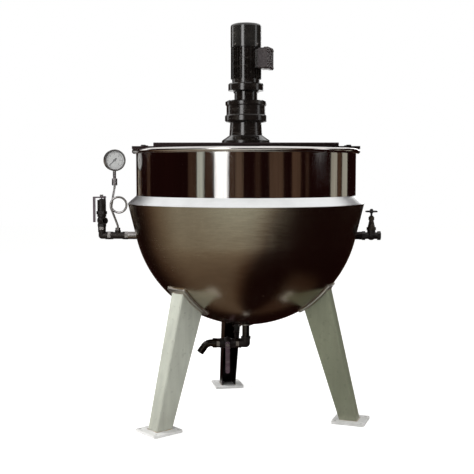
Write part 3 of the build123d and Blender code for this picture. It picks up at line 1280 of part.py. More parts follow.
def outlet_elbow():
    """Elbow under the bowl that turns the discharge to the side."""
    bend = elbow(OUTLET_ELBOW_HALF, OUTLET_FITTING_R, OUTLET_BAND_R, OUTLET_TUBE_R - OUTLET_TUBE_WALL,
                 OUTLET_TUBE_R, ALONG_MINUS_X, Rot(0, 0, 0))
    return Pos(0, 0, OUTLET_Z) * bend


def ball_axis(piece):
    """Places a piece of the discharge valve, drawn along Z for the stem, at the valve."""
    return Pos(BALL_X, 0, OUTLET_Z) * ALONG_MINUS_Y * piece


def discharge_valve_body():
    """Ball valve body with its two seats' pockets and the stem neck towards the operator."""
    cavity_r = BALL_R + RUN_CLEARANCE
    edge = sqrt(cavity_r ** 2 - BALL_BORE_R ** 2)
    waist_r = BALL_BODY_R - 6
    shoulder = sqrt(BALL_BODY_R ** 2 - waist_r ** 2)
    throat = BALL_BODY_HALF - THREAD_DEPTH
    centre_angle = degrees(asin(edge / cavity_r))
    outer_angle = degrees(asin(shoulder / BALL_BODY_R))
    body = turned(
        CenterArc((0, 0), cavity_r, -centre_angle, 2 * centre_angle),
        Polyline((BALL_BORE_R, edge), (BALL_BORE_R, throat), (OUTLET_TUBE_R, throat),
                 (OUTLET_TUBE_R, BALL_BODY_HALF), (waist_r, BALL_BODY_HALF), (waist_r, shoulder)),
        CenterArc((0, 0), BALL_BODY_R, -outer_angle, 2 * outer_angle),
        Polyline((BALL_BORE_R, -edge), (BALL_BORE_R, -throat), (OUTLET_TUBE_R, -throat),
                 (OUTLET_TUBE_R, -BALL_BODY_HALF), (waist_r, -BALL_BODY_HALF), (waist_r, -shoulder)),
    )
    for low in (-BALL_BODY_HALF, BALL_BODY_HALF - BALL_END_LENGTH):
        nut = hexagon(BALL_END_FLATS, low, low + BALL_END_LENGTH)
        body += nut - rod(OUTLET_TUBE_R, low, low + BALL_END_LENGTH)
    body = ALONG_X * body
    body += rod(BALL_NECK_R, cavity_r + 3, BALL_NECK_OUT)
    body -= rod(BALL_STEM_R + RUN_CLEARANCE, 0, BALL_NECK_OUT)
    return ball_axis(body)


def discharge_ball():
    """Bored ball with its stem; the bore is across the line when the valve is shut."""
    ball = Sphere(BALL_R) - Rot(90, 0, 0) * rod(BALL_BORE_R, -BALL_R, BALL_R)
    ball += rod(BALL_STEM_R, BALL_R - 3, BALL_NECK_OUT + BALL_LEVER_T + 9)
    return ball_axis(ball)


def discharge_lever():
    """Cranked lever with its nut; it hangs across the line when the valve is shut."""
    base = BALL_NECK_OUT + 1.0
    half = BALL_LEVER_WIDTH / 2
    crank = BALL_LEVER_CRANK
    side = [(-14, base), (26, base), (40, base + crank), (BALL_LEVER_LENGTH, base + crank),
            (BALL_LEVER_LENGTH, base + crank + BALL_LEVER_T), (38, base + crank + BALL_LEVER_T),
            (24, base + BALL_LEVER_T), (-14, base + BALL_LEVER_T)]
    strip = extrude(Plane.XZ * make_face(Polyline(*side, close=True).edges()), half, both=True)
    ends = [e for e in strip.edges().filter_by(Axis.Z)]
    strip = fillet(ends, half * 0.8)
    nut = hexagon(17, base + BALL_LEVER_T, base + BALL_LEVER_T + 6)
    lever = strip + nut - rod(BALL_STEM_R, base - 1, base + 20)
    return ball_axis(Rot(0, 0, -90) * lever)


def outlet_spout():
    """Bent spout screwed to the valve, open towards the operator's bucket."""
    bore = OUTLET_TUBE_R - OUTLET_TUBE_WALL
    start = Vector(SPOUT_X, 0, OUTLET_Z)
    straight = Line(start, start + Vector(-SPOUT_STRAIGHT, 0, 0))
    centre = straight @ 1 + Vector(0, 0, -SPOUT_BEND_R)
    half = radians(SPOUT_BEND / 2)
    middle = centre + Vector(-SPOUT_BEND_R * sin(half), 0, SPOUT_BEND_R * cos(half))
    full = radians(SPOUT_BEND)
    stop = centre + Vector(-SPOUT_BEND_R * sin(full), 0, SPOUT_BEND_R * cos(full))
    bend = ThreePointArc(straight @ 1, middle, stop)
    tail = Line(stop, stop + Vector(-cos(full), 0, -sin(full)) * SPOUT_TAIL)
    path = Wire([straight.edge(), bend.edge(), tail.edge()])
    at = Plane(path @ 0, z_dir=path % 0)
    spout = sweep(at * Circle(OUTLET_TUBE_R), path=path)
    spout += Pos(start) * ALONG_MINUS_X * rod(OUTLET_BAND_R, 0, SPOUT_STRAIGHT - 6)
    spout -= sweep(at * Circle(bore), path=path)
    return spout - Pos(start) * ALONG_MINUS_X * rod(OUTLET_TUBE_R, 0, THREAD_DEPTH)


# ================================================================ condensate drain
def drain_socket_end():
    """Lower face of the condensate socket."""
    reach = hypot(DRAIN_X, DRAIN_Y)
    return JACKET_SPHERE_Z - sqrt(JACKET_SPHERE_R ** 2 - reach ** 2) - DRAIN_SOCKET_DROP


def drain_cock_body():
    """Plug cock screwed into the condensate socket, with a hose tail."""
    top = drain_socket_end()
    middle = top - DRAIN_BODY_HEIGHT / 2
    low = top - DRAIN_BODY_HEIGHT
    body = rod(DRAIN_TAIL_R, top, top + THREAD_DEPTH) + hexagon(DRAIN_BODY_R * 2, top - 9, top)
    body += rod(DRAIN_BODY_R - 3, low, top) + hexagon(DRAIN_BODY_R * 2, low, low + 9)
    body += Pos(0, 0, middle) * Rot(-90, 0, 0) * rod(DRAIN_BODY_R, -16, 16)
    body += rod(DRAIN_TAIL_R, low - DRAIN_TAIL, low)
    body -= rod(DRAIN_BORE_R, low - DRAIN_TAIL, top + THREAD_DEPTH)
    body -= Pos(0, 0, middle) * Rot(-90, 0, 0) * rod(DRAIN_PLUG_R + RUN_CLEARANCE, -12, 16)
    return Pos(DRAIN_X, DRAIN_Y) * body


def drain_cock_plug():
    """Bored plug with its T handle; the bore is across the line when the cock is shut."""
    middle = drain_socket_end() - DRAIN_BODY_HEIGHT / 2
    plug = rod(DRAIN_PLUG_R, -11.5, 16) + rod(DRAIN_PLUG_R - 3, 16, DRAIN_PLUG_OUT)
    plug -= ALONG_X * rod(DRAIN_BORE_R - 1.5, -DRAIN_PLUG_R, DRAIN_PLUG_R)
    plug += Pos(0, 0, DRAIN_PLUG_OUT - 4) * ALONG_X * rod(3.5, -DRAIN_HANDLE / 2, DRAIN_HANDLE / 2)
    return Pos(DRAIN_X, DRAIN_Y, middle) * Rot(-90, 0, 0) * plug


# ================================================================ write the parts
os.makedirs("parts", exist_ok=True)

save("inner_kettle", inner_kettle())
save("rim_ring", rim_ring())
save("jacket_shell", jacket_shell())
save("jacket_collar", jacket_collar())

leg_places = turned_about_z(LEG_COUNT, LEG_FIRST_ANGLE)
for leg_name, leg_place in zip(LEG_NAMES, leg_places):
    save(leg_name, leg_place * leg())
save("leg_pads", *[place * leg_pad() for place in leg_places])
save("foot_plates", *[place * foot_plate() for place in leg_places])

save("bridge_beam", bridge_beam())
save("bridge_end_plates", bridge_end_plate(), Rot(0, 0, 180) * bridge_end_plate())
save("bridge_lugs", bridge_lug(), Rot(0, 0, 180) * bridge_lug())

save("output_housing", output_housing())
save("pin_gear_ring", pin_gear_ring())
save("input_housing", input_housing())
save("frame_bolts", *bridge_bolts(), *reducer_bolts())
save("motor_flange_shield", motor_flange_shield())
save("motor_frame", motor_frame())
save("motor_rear_shield", motor_rear_shield())
save("fan_cover", fan_cover())
save("terminal_box", terminal_box())
save("terminal_box_lid", terminal_box_lid())
save("cable_gland", cable_gland())
save("drive_bearings", *drive_bearings())
save("motor_rotor", motor_rotor())
save("cooling_fan", cooling_fan())

save("output_shaft", output_shaft())
save("shaft_coupling", shaft_coupling())
save("agitator_shaft", agitator_shaft())
save("anchor_frame", anchor_frame())
save("cross_arms", *[cross_arm(BOWL_CENTRE_Z + up) for up in CROSS_ARM_UP])
save("wiper_blades", *wiper_blades())
save("wiper_bolts", *wiper_bolts())

save("weld_sockets", *weld_sockets(), outlet_boss())
save("pipe_nipples", *pipe_nipples())
save("gauge_tee", gauge_tee())
save("service_elbow", service_elbow())
save("safety_valve_body", safety_valve_body())
save("safety_valve_bonnet", safety_valve_bonnet())
save("safety_valve_spindle", safety_valve_spindle())
save("safety_valve_spring", safety_valve_spring())
save("safety_valve_lever", safety_valve_lever())
save("syphon_tube", syphon_tube())
save("gauge_case", gauge_case())
save("gauge_dial", gauge_dial())
save("gauge_pointer", gauge_pointer())
save("gauge_glass", gauge_glass())

save("steam_valve_body", steam_valve_body())
save("steam_valve_bonnet", *steam_valve_bonnet())
save("steam_valve_disc", steam_valve_disc())
save("steam_spindle", steam_spindle())
save("steam_handwheel", steam_handwheel())

save("outlet_tube", outlet_tube())
save("outlet_elbow", outlet_elbow())
save("discharge_valve_body", discharge_valve_body())
save("discharge_ball", discharge_ball())
save("discharge_lever", discharge_lever())
save("outlet_spout", outlet_spout())
save("drain_cock_body", drain_cock_body())
save("drain_cock_plug", drain_cock_plug())
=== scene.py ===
import json
import math

import bmesh
import bpy
from bpy.props import (
    FloatProperty,
    FloatVectorProperty,
    IntProperty,
    PointerProperty,
)
from mathutils import Matrix, Vector


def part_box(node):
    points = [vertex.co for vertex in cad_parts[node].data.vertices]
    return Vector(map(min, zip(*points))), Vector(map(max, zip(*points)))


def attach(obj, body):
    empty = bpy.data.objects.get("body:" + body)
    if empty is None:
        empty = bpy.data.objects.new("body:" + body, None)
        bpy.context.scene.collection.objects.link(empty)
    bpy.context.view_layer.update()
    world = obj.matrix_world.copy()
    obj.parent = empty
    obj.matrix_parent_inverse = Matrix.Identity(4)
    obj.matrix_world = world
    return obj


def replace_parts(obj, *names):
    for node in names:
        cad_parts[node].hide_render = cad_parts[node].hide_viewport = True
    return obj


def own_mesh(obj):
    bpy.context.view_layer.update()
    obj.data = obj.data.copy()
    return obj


bl_info = {
    "name": "Steam jacketed kettle",
    "version": (1, 0, 0),
    "blender": (4, 5, 0),
    "location": "3D View > Sidebar > Kettle",
    "description": "Dresses the assembled kettle with finishes, seams, fasteners and its studio",
    "category": "Object",
}

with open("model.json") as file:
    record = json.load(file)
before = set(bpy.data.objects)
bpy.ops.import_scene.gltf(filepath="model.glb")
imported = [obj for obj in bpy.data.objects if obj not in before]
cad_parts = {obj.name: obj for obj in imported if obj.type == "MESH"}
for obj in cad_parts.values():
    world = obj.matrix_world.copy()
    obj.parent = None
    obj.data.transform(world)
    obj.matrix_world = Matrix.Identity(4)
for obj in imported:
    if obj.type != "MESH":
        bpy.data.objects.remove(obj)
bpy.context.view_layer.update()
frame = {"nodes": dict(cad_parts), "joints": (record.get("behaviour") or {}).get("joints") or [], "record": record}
NODES = frame["nodes"]
SLOT_OF_NODE = {s["node"]: s["material_slot"] for s in frame["record"]["subparts"]}

# Lowest and highest corners of the solids that the dressed pieces follow.
RIM_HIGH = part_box("rim_ring")[1]
KETTLE_LOW, KETTLE_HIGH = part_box("inner_kettle")
COLLAR_LOW, COLLAR_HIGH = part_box("jacket_collar")
JACKET_LOW, JACKET_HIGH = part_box("jacket_shell")
TUBE_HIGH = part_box("outlet_tube")[1]
COVER_LOW, COVER_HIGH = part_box("fan_cover")
LID_LOW, LID_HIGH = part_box("terminal_box_lid")

# Finishes of the solids that don't take their slot's own. The rear and right legs take darker copies of the legs'
# finish, which are painted shade.
OWN_FINISH = {"leg_rear": "leg_painted_shade", "leg_right": "leg_painted_half_shade", "foot_plates": "foot",
              "frame_bolts": "black_bolt", "outlet_tube": "dark_pipe", "outlet_spout": "dark_pipe"}

# Steps along an arc of a turned skin, and round the rim bead's open section.
ARC_STEPS = 72
BEAD_STEPS = 23
# Lips of the closing ring's section: the outer from its reach and foot, the inner from the bowl and its top.
OUTER_LIP = ((-0.004, 0.0), (-0.0008, 0.0003), (0.0, 0.0016), (-0.0016, 0.0042))
INNER_LIP = ((0.0022, -0.0035), (0.0006, -0.0008), (0.0, 0.0), (0.0, -0.00672))
COLLAR_WALL = 0.010

# How far a weld's line stands off the face it lies on, and the longest step along a pad's edge.
SEAM_LIFT = 0.0005
SOCKET_LIFT = 0.0006
PAD_LIFT = 0.001
PAD_STEP = 0.012
OUTLET_WELD = 0.033

# Screw heads: how tall they are, how they are turned, and how high the cover's stand above its foot.
COVER_HEAD_HEIGHT = 0.0026
LID_HEAD_HEIGHT = 0.0024
SCREW_TURN = math.radians(45)
COVER_SCREW_RISE = 0.0105
# A screw's hexagon, washer and shank: corners, then width, height and middle as shares of the head's.
SCREW_PARTS = ((6, 1.0, 1.0, 0.62), (20, 1.25, 0.25, 0.12), (16, 0.62, 1.5, 0.78))

# The dial's print: where its zero stands, its numbers, its ring's marks and how far it lies off the card.
ZERO_MARK = math.radians(225)
NUMBERS = 7
RING_MARKS = 181
NUMBER_SIZE = 0.010
NUMBER_INSET = 0.0125
PRINT_LIFT = 0.0006
# The gauge bezel's section: radius, and height above the front of the case.
BEZEL = ((0.0498, 0.0), (0.0498, 0.0007), (0.0486, 0.0018), (0.0460, 0.0023), (0.0436, 0.0017), (0.0424, 0.0))


# ---------------------------------------------------------------- sizes and colours a user may change
class KettleShellSizes(bpy.types.PropertyGroup):
    """Sizes of the vessel's turned skins."""

    wall: FloatProperty(name="Kettle wall", description="Thickness of the cooking bowl's wall",
                        default=0.003, unit="LENGTH")
    jacket_wall: FloatProperty(name="Jacket wall", description="Thickness of the steam jacket's wall",
                               default=0.003, unit="LENGTH")
    bead_radius: FloatProperty(name="Bead radius", description="Radius of the rolled bead round the mouth",
                               default=0.011, unit="LENGTH")
    jacket_sphere: FloatProperty(name="Jacket sphere", description="Radius of the jacket's round bottom",
                                 default=0.517, unit="LENGTH")
    facets: IntProperty(name="Facets", description="Steps round each turned skin", default=288, min=48)


class KettleSeamSizes(bpy.types.PropertyGroup):
    """Sizes of the weld seams."""

    bead: FloatProperty(name="Weld bead", description="Half width of a weld bead", default=0.0032, unit="LENGTH")
    ripple: FloatProperty(name="Ripple", description="Distance between a weld's ripples", default=0.0042,
                          unit="LENGTH")
    service: FloatProperty(name="Service height", description="Height of the two pipe sockets on the jacket",
                           default=0.830, unit="LENGTH")
    socket: FloatProperty(name="Socket", description="Radius of the two pipe sockets", default=0.0180,
                          unit="LENGTH")


class KettleLegSizes(bpy.types.PropertyGroup):
    """Sizes of the legs and their pads, which the weld seams follow."""

    first: FloatProperty(name="First leg", description="Direction of the left leg, from the steam side",
                         default=math.radians(-138.7), subtype="ANGLE")
    plate: FloatProperty(name="Floor plate", description="Thickness of a leg's floor plate", default=0.012,
                         unit="LENGTH")
    reach: FloatProperty(name="Reach", description="Distance of a leg's foot from the bowl's axis", default=0.536,
                         unit="LENGTH")
    lean: FloatProperty(name="Lean", description="How far a leg leans in for each metre up", default=0.234)
    depth: FloatProperty(name="Depth", description="Depth of a leg's channel at its foot", default=0.080,
                         unit="LENGTH")
    depth_gain: FloatProperty(name="Depth gain", description="How much deeper a leg gets for each metre up",
                              default=0.097)
    width: FloatProperty(name="Width", description="Width of a leg at its foot", default=0.072, unit="LENGTH")
    width_gain: FloatProperty(name="Width gain", description="How much wider a leg gets for each metre up",
                              default=0.02)
    pad: FloatProperty(name="Pad", description="Thickness of a leg's pad", default=0.008, unit="LENGTH")
    pad_length: FloatProperty(name="Pad length", description="Length of a leg's pad", default=0.1854,
                              unit="LENGTH")
    pad_width: FloatProperty(name="Pad width", description="Width of a leg's pad", default=0.1279, unit="LENGTH")
    pad_corner: FloatProperty(name="Pad corner", description="Corner radius of a leg's pad", default=0.0132,
                              unit="LENGTH")
    pad_turn: FloatProperty(name="Pad turn", description="How far below level a pad stands on the jacket",
                            default=math.radians(48.225), subtype="ANGLE")


class KettleFastenerSizes(bpy.types.PropertyGroup):
    """Sizes of the screws of the sheet covers."""

    cover_screws: IntProperty(name="Cover screws", description="Screws round the fan cover", default=4, min=2)
    cover_head: FloatProperty(name="Cover head", description="Half width of a cover screw's head",
                              default=0.0044, unit="LENGTH")
    lid_circle: FloatProperty(name="Lid circle", description="Radius of the circle of the lid's four screws",
                              default=0.0545, unit="LENGTH")
    lid_head: FloatProperty(name="Lid head", description="Half width of a lid screw's head", default=0.0040,
                            unit="LENGTH")
    lid_out: FloatProperty(name="Lid face", description="Distance of the lid's face from the motor's axis",
                           default=0.117, unit="LENGTH")
    box_turn: FloatProperty(name="Box turn", description="Direction that the terminal box faces",
                            default=math.radians(-20), subtype="ANGLE")


class KettleDialSizes(bpy.types.PropertyGroup):
    """Sizes of the gauge's printed scale."""

    scale_radius: FloatProperty(name="Scale radius", description="Outer radius of the dial's scale", default=0.039,
                                unit="LENGTH")
    front: FloatProperty(name="Front", description="Distance from the gauge's middle to the front of its glass",
                         default=0.0146, unit="LENGTH")
    steps: IntProperty(name="Steps", description="Small steps on the scale", default=30, min=10)
    sweep: FloatProperty(name="Sweep", description="Angle that the scale covers", default=math.radians(270),
                         subtype="ANGLE")


class KettleFinishes(bpy.types.PropertyGroup):
    """Colours of the finishes."""

    kettle: FloatVectorProperty(name="Kettle", description="Colour of the polished bowl", subtype="COLOR",
                                default=(0.72, 0.70, 0.68), min=0, max=1)
    # The jacket's warm tint is partly the steel's own colour and partly a painted reflection of warm surroundings.
    jacket: FloatVectorProperty(name="Jacket", description="Colour of the brushed jacket", subtype="COLOR",
                                default=(0.52, 0.46, 0.37), min=0, max=1)
    collar: FloatVectorProperty(name="Collar", description="Colour of the closing ring", subtype="COLOR",
                                default=(0.90, 0.91, 0.91), min=0, max=1)
    legs: FloatVectorProperty(name="Legs", description="Colour of the legs", subtype="COLOR",
                              default=(0.56, 0.58, 0.50), min=0, max=1)
    drive: FloatVectorProperty(name="Drive", description="Colour of the drive's paint", subtype="COLOR",
                               default=(0.008, 0.006, 0.005), min=0, max=1)


class KettleStudio(bpy.types.PropertyGroup):
    """Light and camera of the studio."""

    sky: FloatProperty(name="Sky", description="Strength of the even light from all round", default=0.42, min=0)
    left: FloatProperty(name="Left lamp", description="Power of the soft lamp on the left", default=240.0, min=0,
                        unit="POWER")
    right: FloatProperty(name="Right lamp", description="Power of the soft lamp on the right", default=70.0,
                         min=0, unit="POWER")
    front: FloatProperty(name="Front lamp", description="Power of the soft lamp at the front", default=60.0,
                         min=0, unit="POWER")
    glow: FloatProperty(name="Floor glow", description="How far the floor fades into the background",
                        default=0.70, min=0)
    lens: FloatProperty(name="Lens", description="Focal length in millimetres", default=64.97, min=1)


# ---------------------------------------------------------------- shader building
class Term:
    """A socket in an arithmetic expression; each operator adds its Math node."""

    def __init__(self, shade, socket):
        self.shade = shade
        self.socket = socket

    def __add__(self, other):
        return self.shade.math("ADD", self, other)

    __radd__ = __add__

    def __sub__(self, other):
        return self.shade.math("SUBTRACT", self, other)

    def __rsub__(self, other):
        return self.shade.math("SUBTRACT", other, self)

    def __mul__(self, other):
        return self.shade.math("MULTIPLY", self, other)

    __rmul__ = __mul__


class Shade:
    """One material, or the world, and its nodes."""

    def __init__(self, name, kind="materials"):
        self.made = getattr(bpy.data, kind).new(name)
        self.made.use_nodes = True
        self.tree = self.made.node_tree
        self.tree.nodes.clear()

    def node(self, kind, settings=None, sockets=None, output=0):
        """Adds a node of that type with its settings, then the values or links of its sockets."""
        node = self.tree.nodes.new(kind)
        for key, value in (settings or {}).items():
            if key == "stops":
                ramp = node.color_ramp
                while len(ramp.elements) < len(value):
                    ramp.elements.new(1.0)
                for element, (position, colour) in zip(ramp.elements, value):
                    element.position = position
                    element.color = (*colour, 1.0)
            else:
                setattr(node, key, value)
        for key, value in (sockets or {}).items():
            if isinstance(value, Term):
                self.tree.links.new(value.socket, node.inputs[key])
            else:
                node.inputs[key].default_value = value
        return Term(self, node.outputs[output])

    def math(self, operation, first, second=0.0):
        return self.node("ShaderNodeMath", {"operation": operation}, {0: first, 1: second})

    def clamp(self, value):
        return self.node("ShaderNodeClamp", None, {0: value})

    def place(self):
        return self.node("ShaderNodeTexCoord", output="Object")

    def split(self, vector):
        axes = self.node("ShaderNodeSeparateXYZ", None, {0: vector})
        return [Term(self, axes.socket.node.outputs[i]) for i in range(3)]

    def join(self, x, y, z):
        return self.node("ShaderNodeCombineXYZ", None, {0: x, 1: y, 2: z})

    def stretch(self, vector, scale):
        return self.node("ShaderNodeMapping", None, {"Vector": vector, "Scale": scale})

    def noise(self, vector, scale, detail=3.0, rough=0.5):
        return self.node("ShaderNodeTexNoise", None,
                         {"Vector": vector, "Scale": scale, "Detail": detail, "Roughness": rough})

    def cells(self, vector, scale):
        return self.node("ShaderNodeTexVoronoi", None, {"Vector": vector, "Scale": scale})

    def remap(self, value, low, high, to_low=0.0, to_high=1.0):
        return self.node("ShaderNodeMapRange", {"clamp": True},
                         {0: value, 1: low, 2: high, 3: to_low, 4: to_high})

    def colour(self, factor, first, second):
        first = first if isinstance(first, Term) else (*first, 1.0)
        second = second if isinstance(second, Term) else (*second, 1.0)
        return self.node("ShaderNodeMix", {"data_type": "RGBA"}, {0: factor, 6: first, 7: second}, output=2)

    def bump(self, height, distance, strength=1.0):
        return self.node("ShaderNodeBump", None, {"Height": height, "Distance": distance, "Strength": strength})

    def seen(self):
        """1 for the rays that show the background: the camera's, and those of gloss and glass."""
        shown = self.node("ShaderNodeLightPath", output="Is Camera Ray")
        for kind in ("Is Glossy Ray", "Is Transmission Ray"):
            shown = self.math("MAXIMUM", shown, self.node("ShaderNodeLightPath", output=kind))
        return shown

    def surface(self, **sockets):
        """Ends the material in a Principled surface with these sockets."""
        named = {key.replace("_", " "): value for key, value in sockets.items()}
        return self.end(self.node("ShaderNodeBsdfPrincipled", None, named))

    def end(self, shader, kind="ShaderNodeOutputMaterial"):
        """Ends the nodes in that shader and gives back what they were made for."""
        out = self.tree.nodes.new(kind)
        self.tree.links.new(shader.socket, out.inputs["Surface"])
        return self.made


def tinted(colour, factor):
    """A colour made lighter or darker."""
    return tuple(min(1.0, c * factor) for c in colour)


def turned_sheet(name, colour, roughness, ring_scale, ring_depth, stain=0.25):
    """Steel finished in the lathe: fine rings round the axis, slow changes of tone, and faint smears."""
    s = Shade(name)
    place = s.place()
    x, y, z = s.split(place)
    radius = s.math("SQRT", x * x + y * y)
    rings = s.noise(s.join(radius * 3.0, x * 0.35, z * 3.0 + y * 0.35), ring_scale, 4.0, 0.65)
    fine = s.noise(s.join(radius * 3.0, x * 0.8, z * 3.0 + y * 0.8), ring_scale * 4.0, 3.0, 0.7)
    cloud = s.noise(place, 2.6, 4.0, 0.55)
    smear = s.remap(s.noise(s.stretch(place, (6.0, 6.0, 1.2)), 1.6, 5.0, 0.6), 0.45, 0.75)
    tone = s.clamp(rings * 0.45 + cloud * 0.55 + (fine - 0.5) * 0.5)
    base = s.colour(s.remap(tone, 0.3, 0.7), tinted(colour, 1.0 - stain), tinted(colour, 1.0 + stain * 0.35))
    base = s.colour(smear * 0.25, base, tinted(colour, 0.72))
    gloss = s.clamp(roughness + (rings - 0.5) * 0.12 + smear * 0.06)
    normal = s.bump(rings * 0.7 + fine * 0.3, ring_depth)
    return s.surface(Base_Color=base, Metallic=1.0, Roughness=gloss, Normal=normal)


def mirror_sheet(name, colour, roughness):
    """Mirror-polished steel with faint upright polishing marks and drips."""
    s = Shade(name)
    place = s.place()
    drag = s.noise(s.stretch(place, (90.0, 90.0, 2.0)), 1.0, 4.0, 0.6)
    soft = s.noise(s.stretch(place, (9.0, 9.0, 1.0)), 1.0, 3.0, 0.5)
    cloud = s.noise(place, 3.0, 4.0, 0.55)
    base = s.colour(s.remap(soft * 0.6 + drag * 0.4, 0.35, 0.68), tinted(colour, 0.74), tinted(colour, 1.12))
    gloss = s.clamp(roughness + (drag - 0.5) * 0.05 + s.remap(cloud, 0.5, 0.75) * 0.05)
    normal = s.bump(soft * 0.85 + drag * 0.15, 0.0016, 0.35)
    return s.surface(Base_Color=base, Metallic=1.0, Roughness=gloss, Normal=normal)


def satin_sheet(name, colour, roughness, metallic=1.0, grain=(4.0, 4.0, 260.0), painted_shade_inward=None):
    """Sheet steel with a straight grain, handling marks and a little dust, and painted shade on the faces that look
    in towards the axis.
    """
    s = Shade(name)
    place = s.place()
    line = s.noise(s.stretch(place, grain), 1.0, 4.0, 0.65)
    cloud = s.noise(place, 5.0, 5.0, 0.6)
    spots = s.remap(s.noise(place, 46.0, 3.0, 0.6), 0.60, 0.72)
    x, y, z = s.split(place)
    dust = s.clamp(s.remap(z, 0.0, 0.10, 1.0, 0.0) * s.remap(cloud, 0.35, 0.6))
    base = s.colour(s.remap(line * 0.5 + cloud * 0.5, 0.32, 0.68), tinted(colour, 0.80), tinted(colour, 1.10))
    base = s.colour(spots * 0.35, base, tinted(colour, 0.55))
    base = s.colour(dust * 0.35, base, (0.36, 0.34, 0.29))
    if painted_shade_inward:
        # Faces that look in towards the bowl's axis take the given dark colour: painted shade.
        facing = s.split(s.node("ShaderNodeNewGeometry", output="Normal"))
        base = s.colour(s.remap(facing[0] * x + facing[1] * y, -0.04, -0.16), base, painted_shade_inward)
    gloss = s.clamp(roughness + (line - 0.5) * 0.16 + spots * 0.1)
    normal = s.bump(line, 0.0003, 0.6)
    return s.surface(Base_Color=base, Metallic=metallic, Roughness=gloss, Normal=normal)


def enamel(name, colour, roughness=0.22, coat=0.6, peel=0.0005):
    """Thick machine enamel over a casting, with orange peel, runs and dust in its hollows."""
    s = Shade(name)
    place = s.place()
    peel_noise = s.noise(place, 240.0, 2.0, 0.5)
    cast = s.noise(place, 42.0, 4.0, 0.6)
    cloud = s.noise(place, 9.0, 4.0, 0.6)
    chips = s.remap(s.noise(place, 95.0, 3.0, 0.7), 0.70, 0.74)
    dust = s.remap(s.noise(s.stretch(place, (1.0, 1.0, 3.0)), 18.0, 4.0, 0.6), 0.52, 0.8)
    base = s.colour(s.remap(cloud, 0.3, 0.7), tinted(colour, 0.75), tinted(colour, 1.7))
    base = s.colour(dust * 0.10, base, (0.20, 0.16, 0.12))
    base = s.colour(chips * 0.4, base, (0.14, 0.11, 0.09))
    gloss = s.clamp(roughness + dust * 0.25 + (cloud - 0.5) * 0.12)
    normal = s.bump(peel_noise * 0.35 + cast * 0.65, peel, 0.8)
    return s.surface(Base_Color=base, Metallic=0.0, Roughness=gloss, Coat_Weight=coat, Coat_Roughness=0.12,
                     Normal=normal)


def cast_metal(name, colour, roughness=0.42, metallic=0.85, grain=0.0008):
    """Cast or forged fitting with a sandy skin, darker in its pits."""
    s = Shade(name)
    place = s.place()
    sand = s.noise(place, 420.0, 3.0, 0.6)
    lump = s.noise(place, 60.0, 4.0, 0.6)
    pits = s.remap(s.cells(place, 300.0), 0.08, 0.2)
    base = s.colour(s.remap(lump, 0.3, 0.7), tinted(colour, 0.6), tinted(colour, 1.35))
    base = s.colour((1.0 - pits) * 0.4, base, tinted(colour, 0.35))
    gloss = s.clamp(roughness + (lump - 0.5) * 0.3)
    normal = s.bump(sand * 0.5 + lump * 0.5, grain, 0.7)
    return s.surface(Base_Color=base, Metallic=metallic, Roughness=gloss, Normal=normal)


def machined(name, colour, roughness=0.28, metallic=1.0, steam_side_painted_shade=None):
    """Turned or ground metal with fine tool marks, and painted shade as another colour on the steam side where one
    is given.
    """
    s = Shade(name)
    place = s.place()
    marks = s.noise(s.stretch(place, (30.0, 30.0, 900.0)), 1.0, 2.0, 0.5)
    cross = s.noise(s.stretch(place, (900.0, 30.0, 30.0)), 1.0, 2.0, 0.5)
    cloud = s.noise(place, 30.0, 4.0, 0.6)
    base = s.colour(s.remap(cloud, 0.3, 0.72), tinted(colour, 0.68), tinted(colour, 1.15))
    if steam_side_painted_shade:
        # The steam side's colour is painted shade.
        base = s.colour(s.remap(s.split(place)[0], 0.1, 0.2), base, steam_side_painted_shade)
    gloss = s.clamp(roughness + (marks - 0.5) * 0.2 + (cloud - 0.5) * 0.15)
    normal = s.bump(marks * 0.5 + cross * 0.5, 0.0002, 0.5)
    return s.surface(Base_Color=base, Metallic=metallic, Roughness=gloss, Normal=normal)


def moulded(name, colour, roughness=0.45, grain=0.0004):
    """Moulded plastic with a fine texture and rubbed places."""
    s = Shade(name)
    place = s.place()
    texture = s.noise(place, 700.0, 2.0, 0.5)
    rubbed = s.remap(s.noise(place, 28.0, 4.0, 0.6), 0.5, 0.75)
    base = s.colour(rubbed * 0.4, colour, tinted(colour, 1.5))
    gloss = s.clamp(roughness - rubbed * 0.12)
    normal = s.bump(texture, grain, 0.5)
    return s.surface(Base_Color=base, Metallic=0.0, Roughness=gloss, Normal=normal)


def weld_metal(name, colour):
    """Weld bead, brushed bright on its crests and straw-coloured between them."""
    s = Shade(name)
    place = s.place()
    cloud = s.noise(place, 120.0, 3.0, 0.6)
    heat = s.noise(place, 30.0, 3.0, 0.5)
    base = s.colour(s.remap(heat, 0.4, 0.65), colour, (0.50, 0.38, 0.24))
    gloss = s.clamp(0.34 + (cloud - 0.5) * 0.3)
    normal = s.bump(cloud, 0.0004, 0.6)
    return s.surface(Base_Color=base, Metallic=1.0, Roughness=gloss, Normal=normal)


def printed_dial(name):
    """White dial card with a trace of paper tone."""
    s = Shade(name)
    place = s.place()
    cloud = s.noise(place, 60.0, 3.0, 0.5)
    base = s.colour(cloud, (0.90, 0.90, 0.88), (0.97, 0.97, 0.96))
    return s.surface(Base_Color=base, Roughness=s.clamp(0.42 + cloud * 0.1))


def ink(name, colour):
    """Printing ink."""
    s = Shade(name)
    cloud = s.noise(s.place(), 300.0, 2.0, 0.5)
    base = s.colour(cloud, tinted(colour, 0.8), tinted(colour, 1.2))
    return s.surface(Base_Color=base, Roughness=s.clamp(0.4 + cloud * 0.1))


def gauge_pane(name):
    """Thin flat glass with faint wiping marks."""
    s = Shade(name)
    wipe = s.noise(s.stretch(s.place(), (20.0, 20.0, 60.0)), 1.0, 3.0, 0.5)
    return s.surface(Base_Color=(0.95, 0.97, 0.98, 1.0), Roughness=s.clamp(0.02 + wipe * 0.05), Alpha=0.12, IOR=1.45)


FINISH = {}


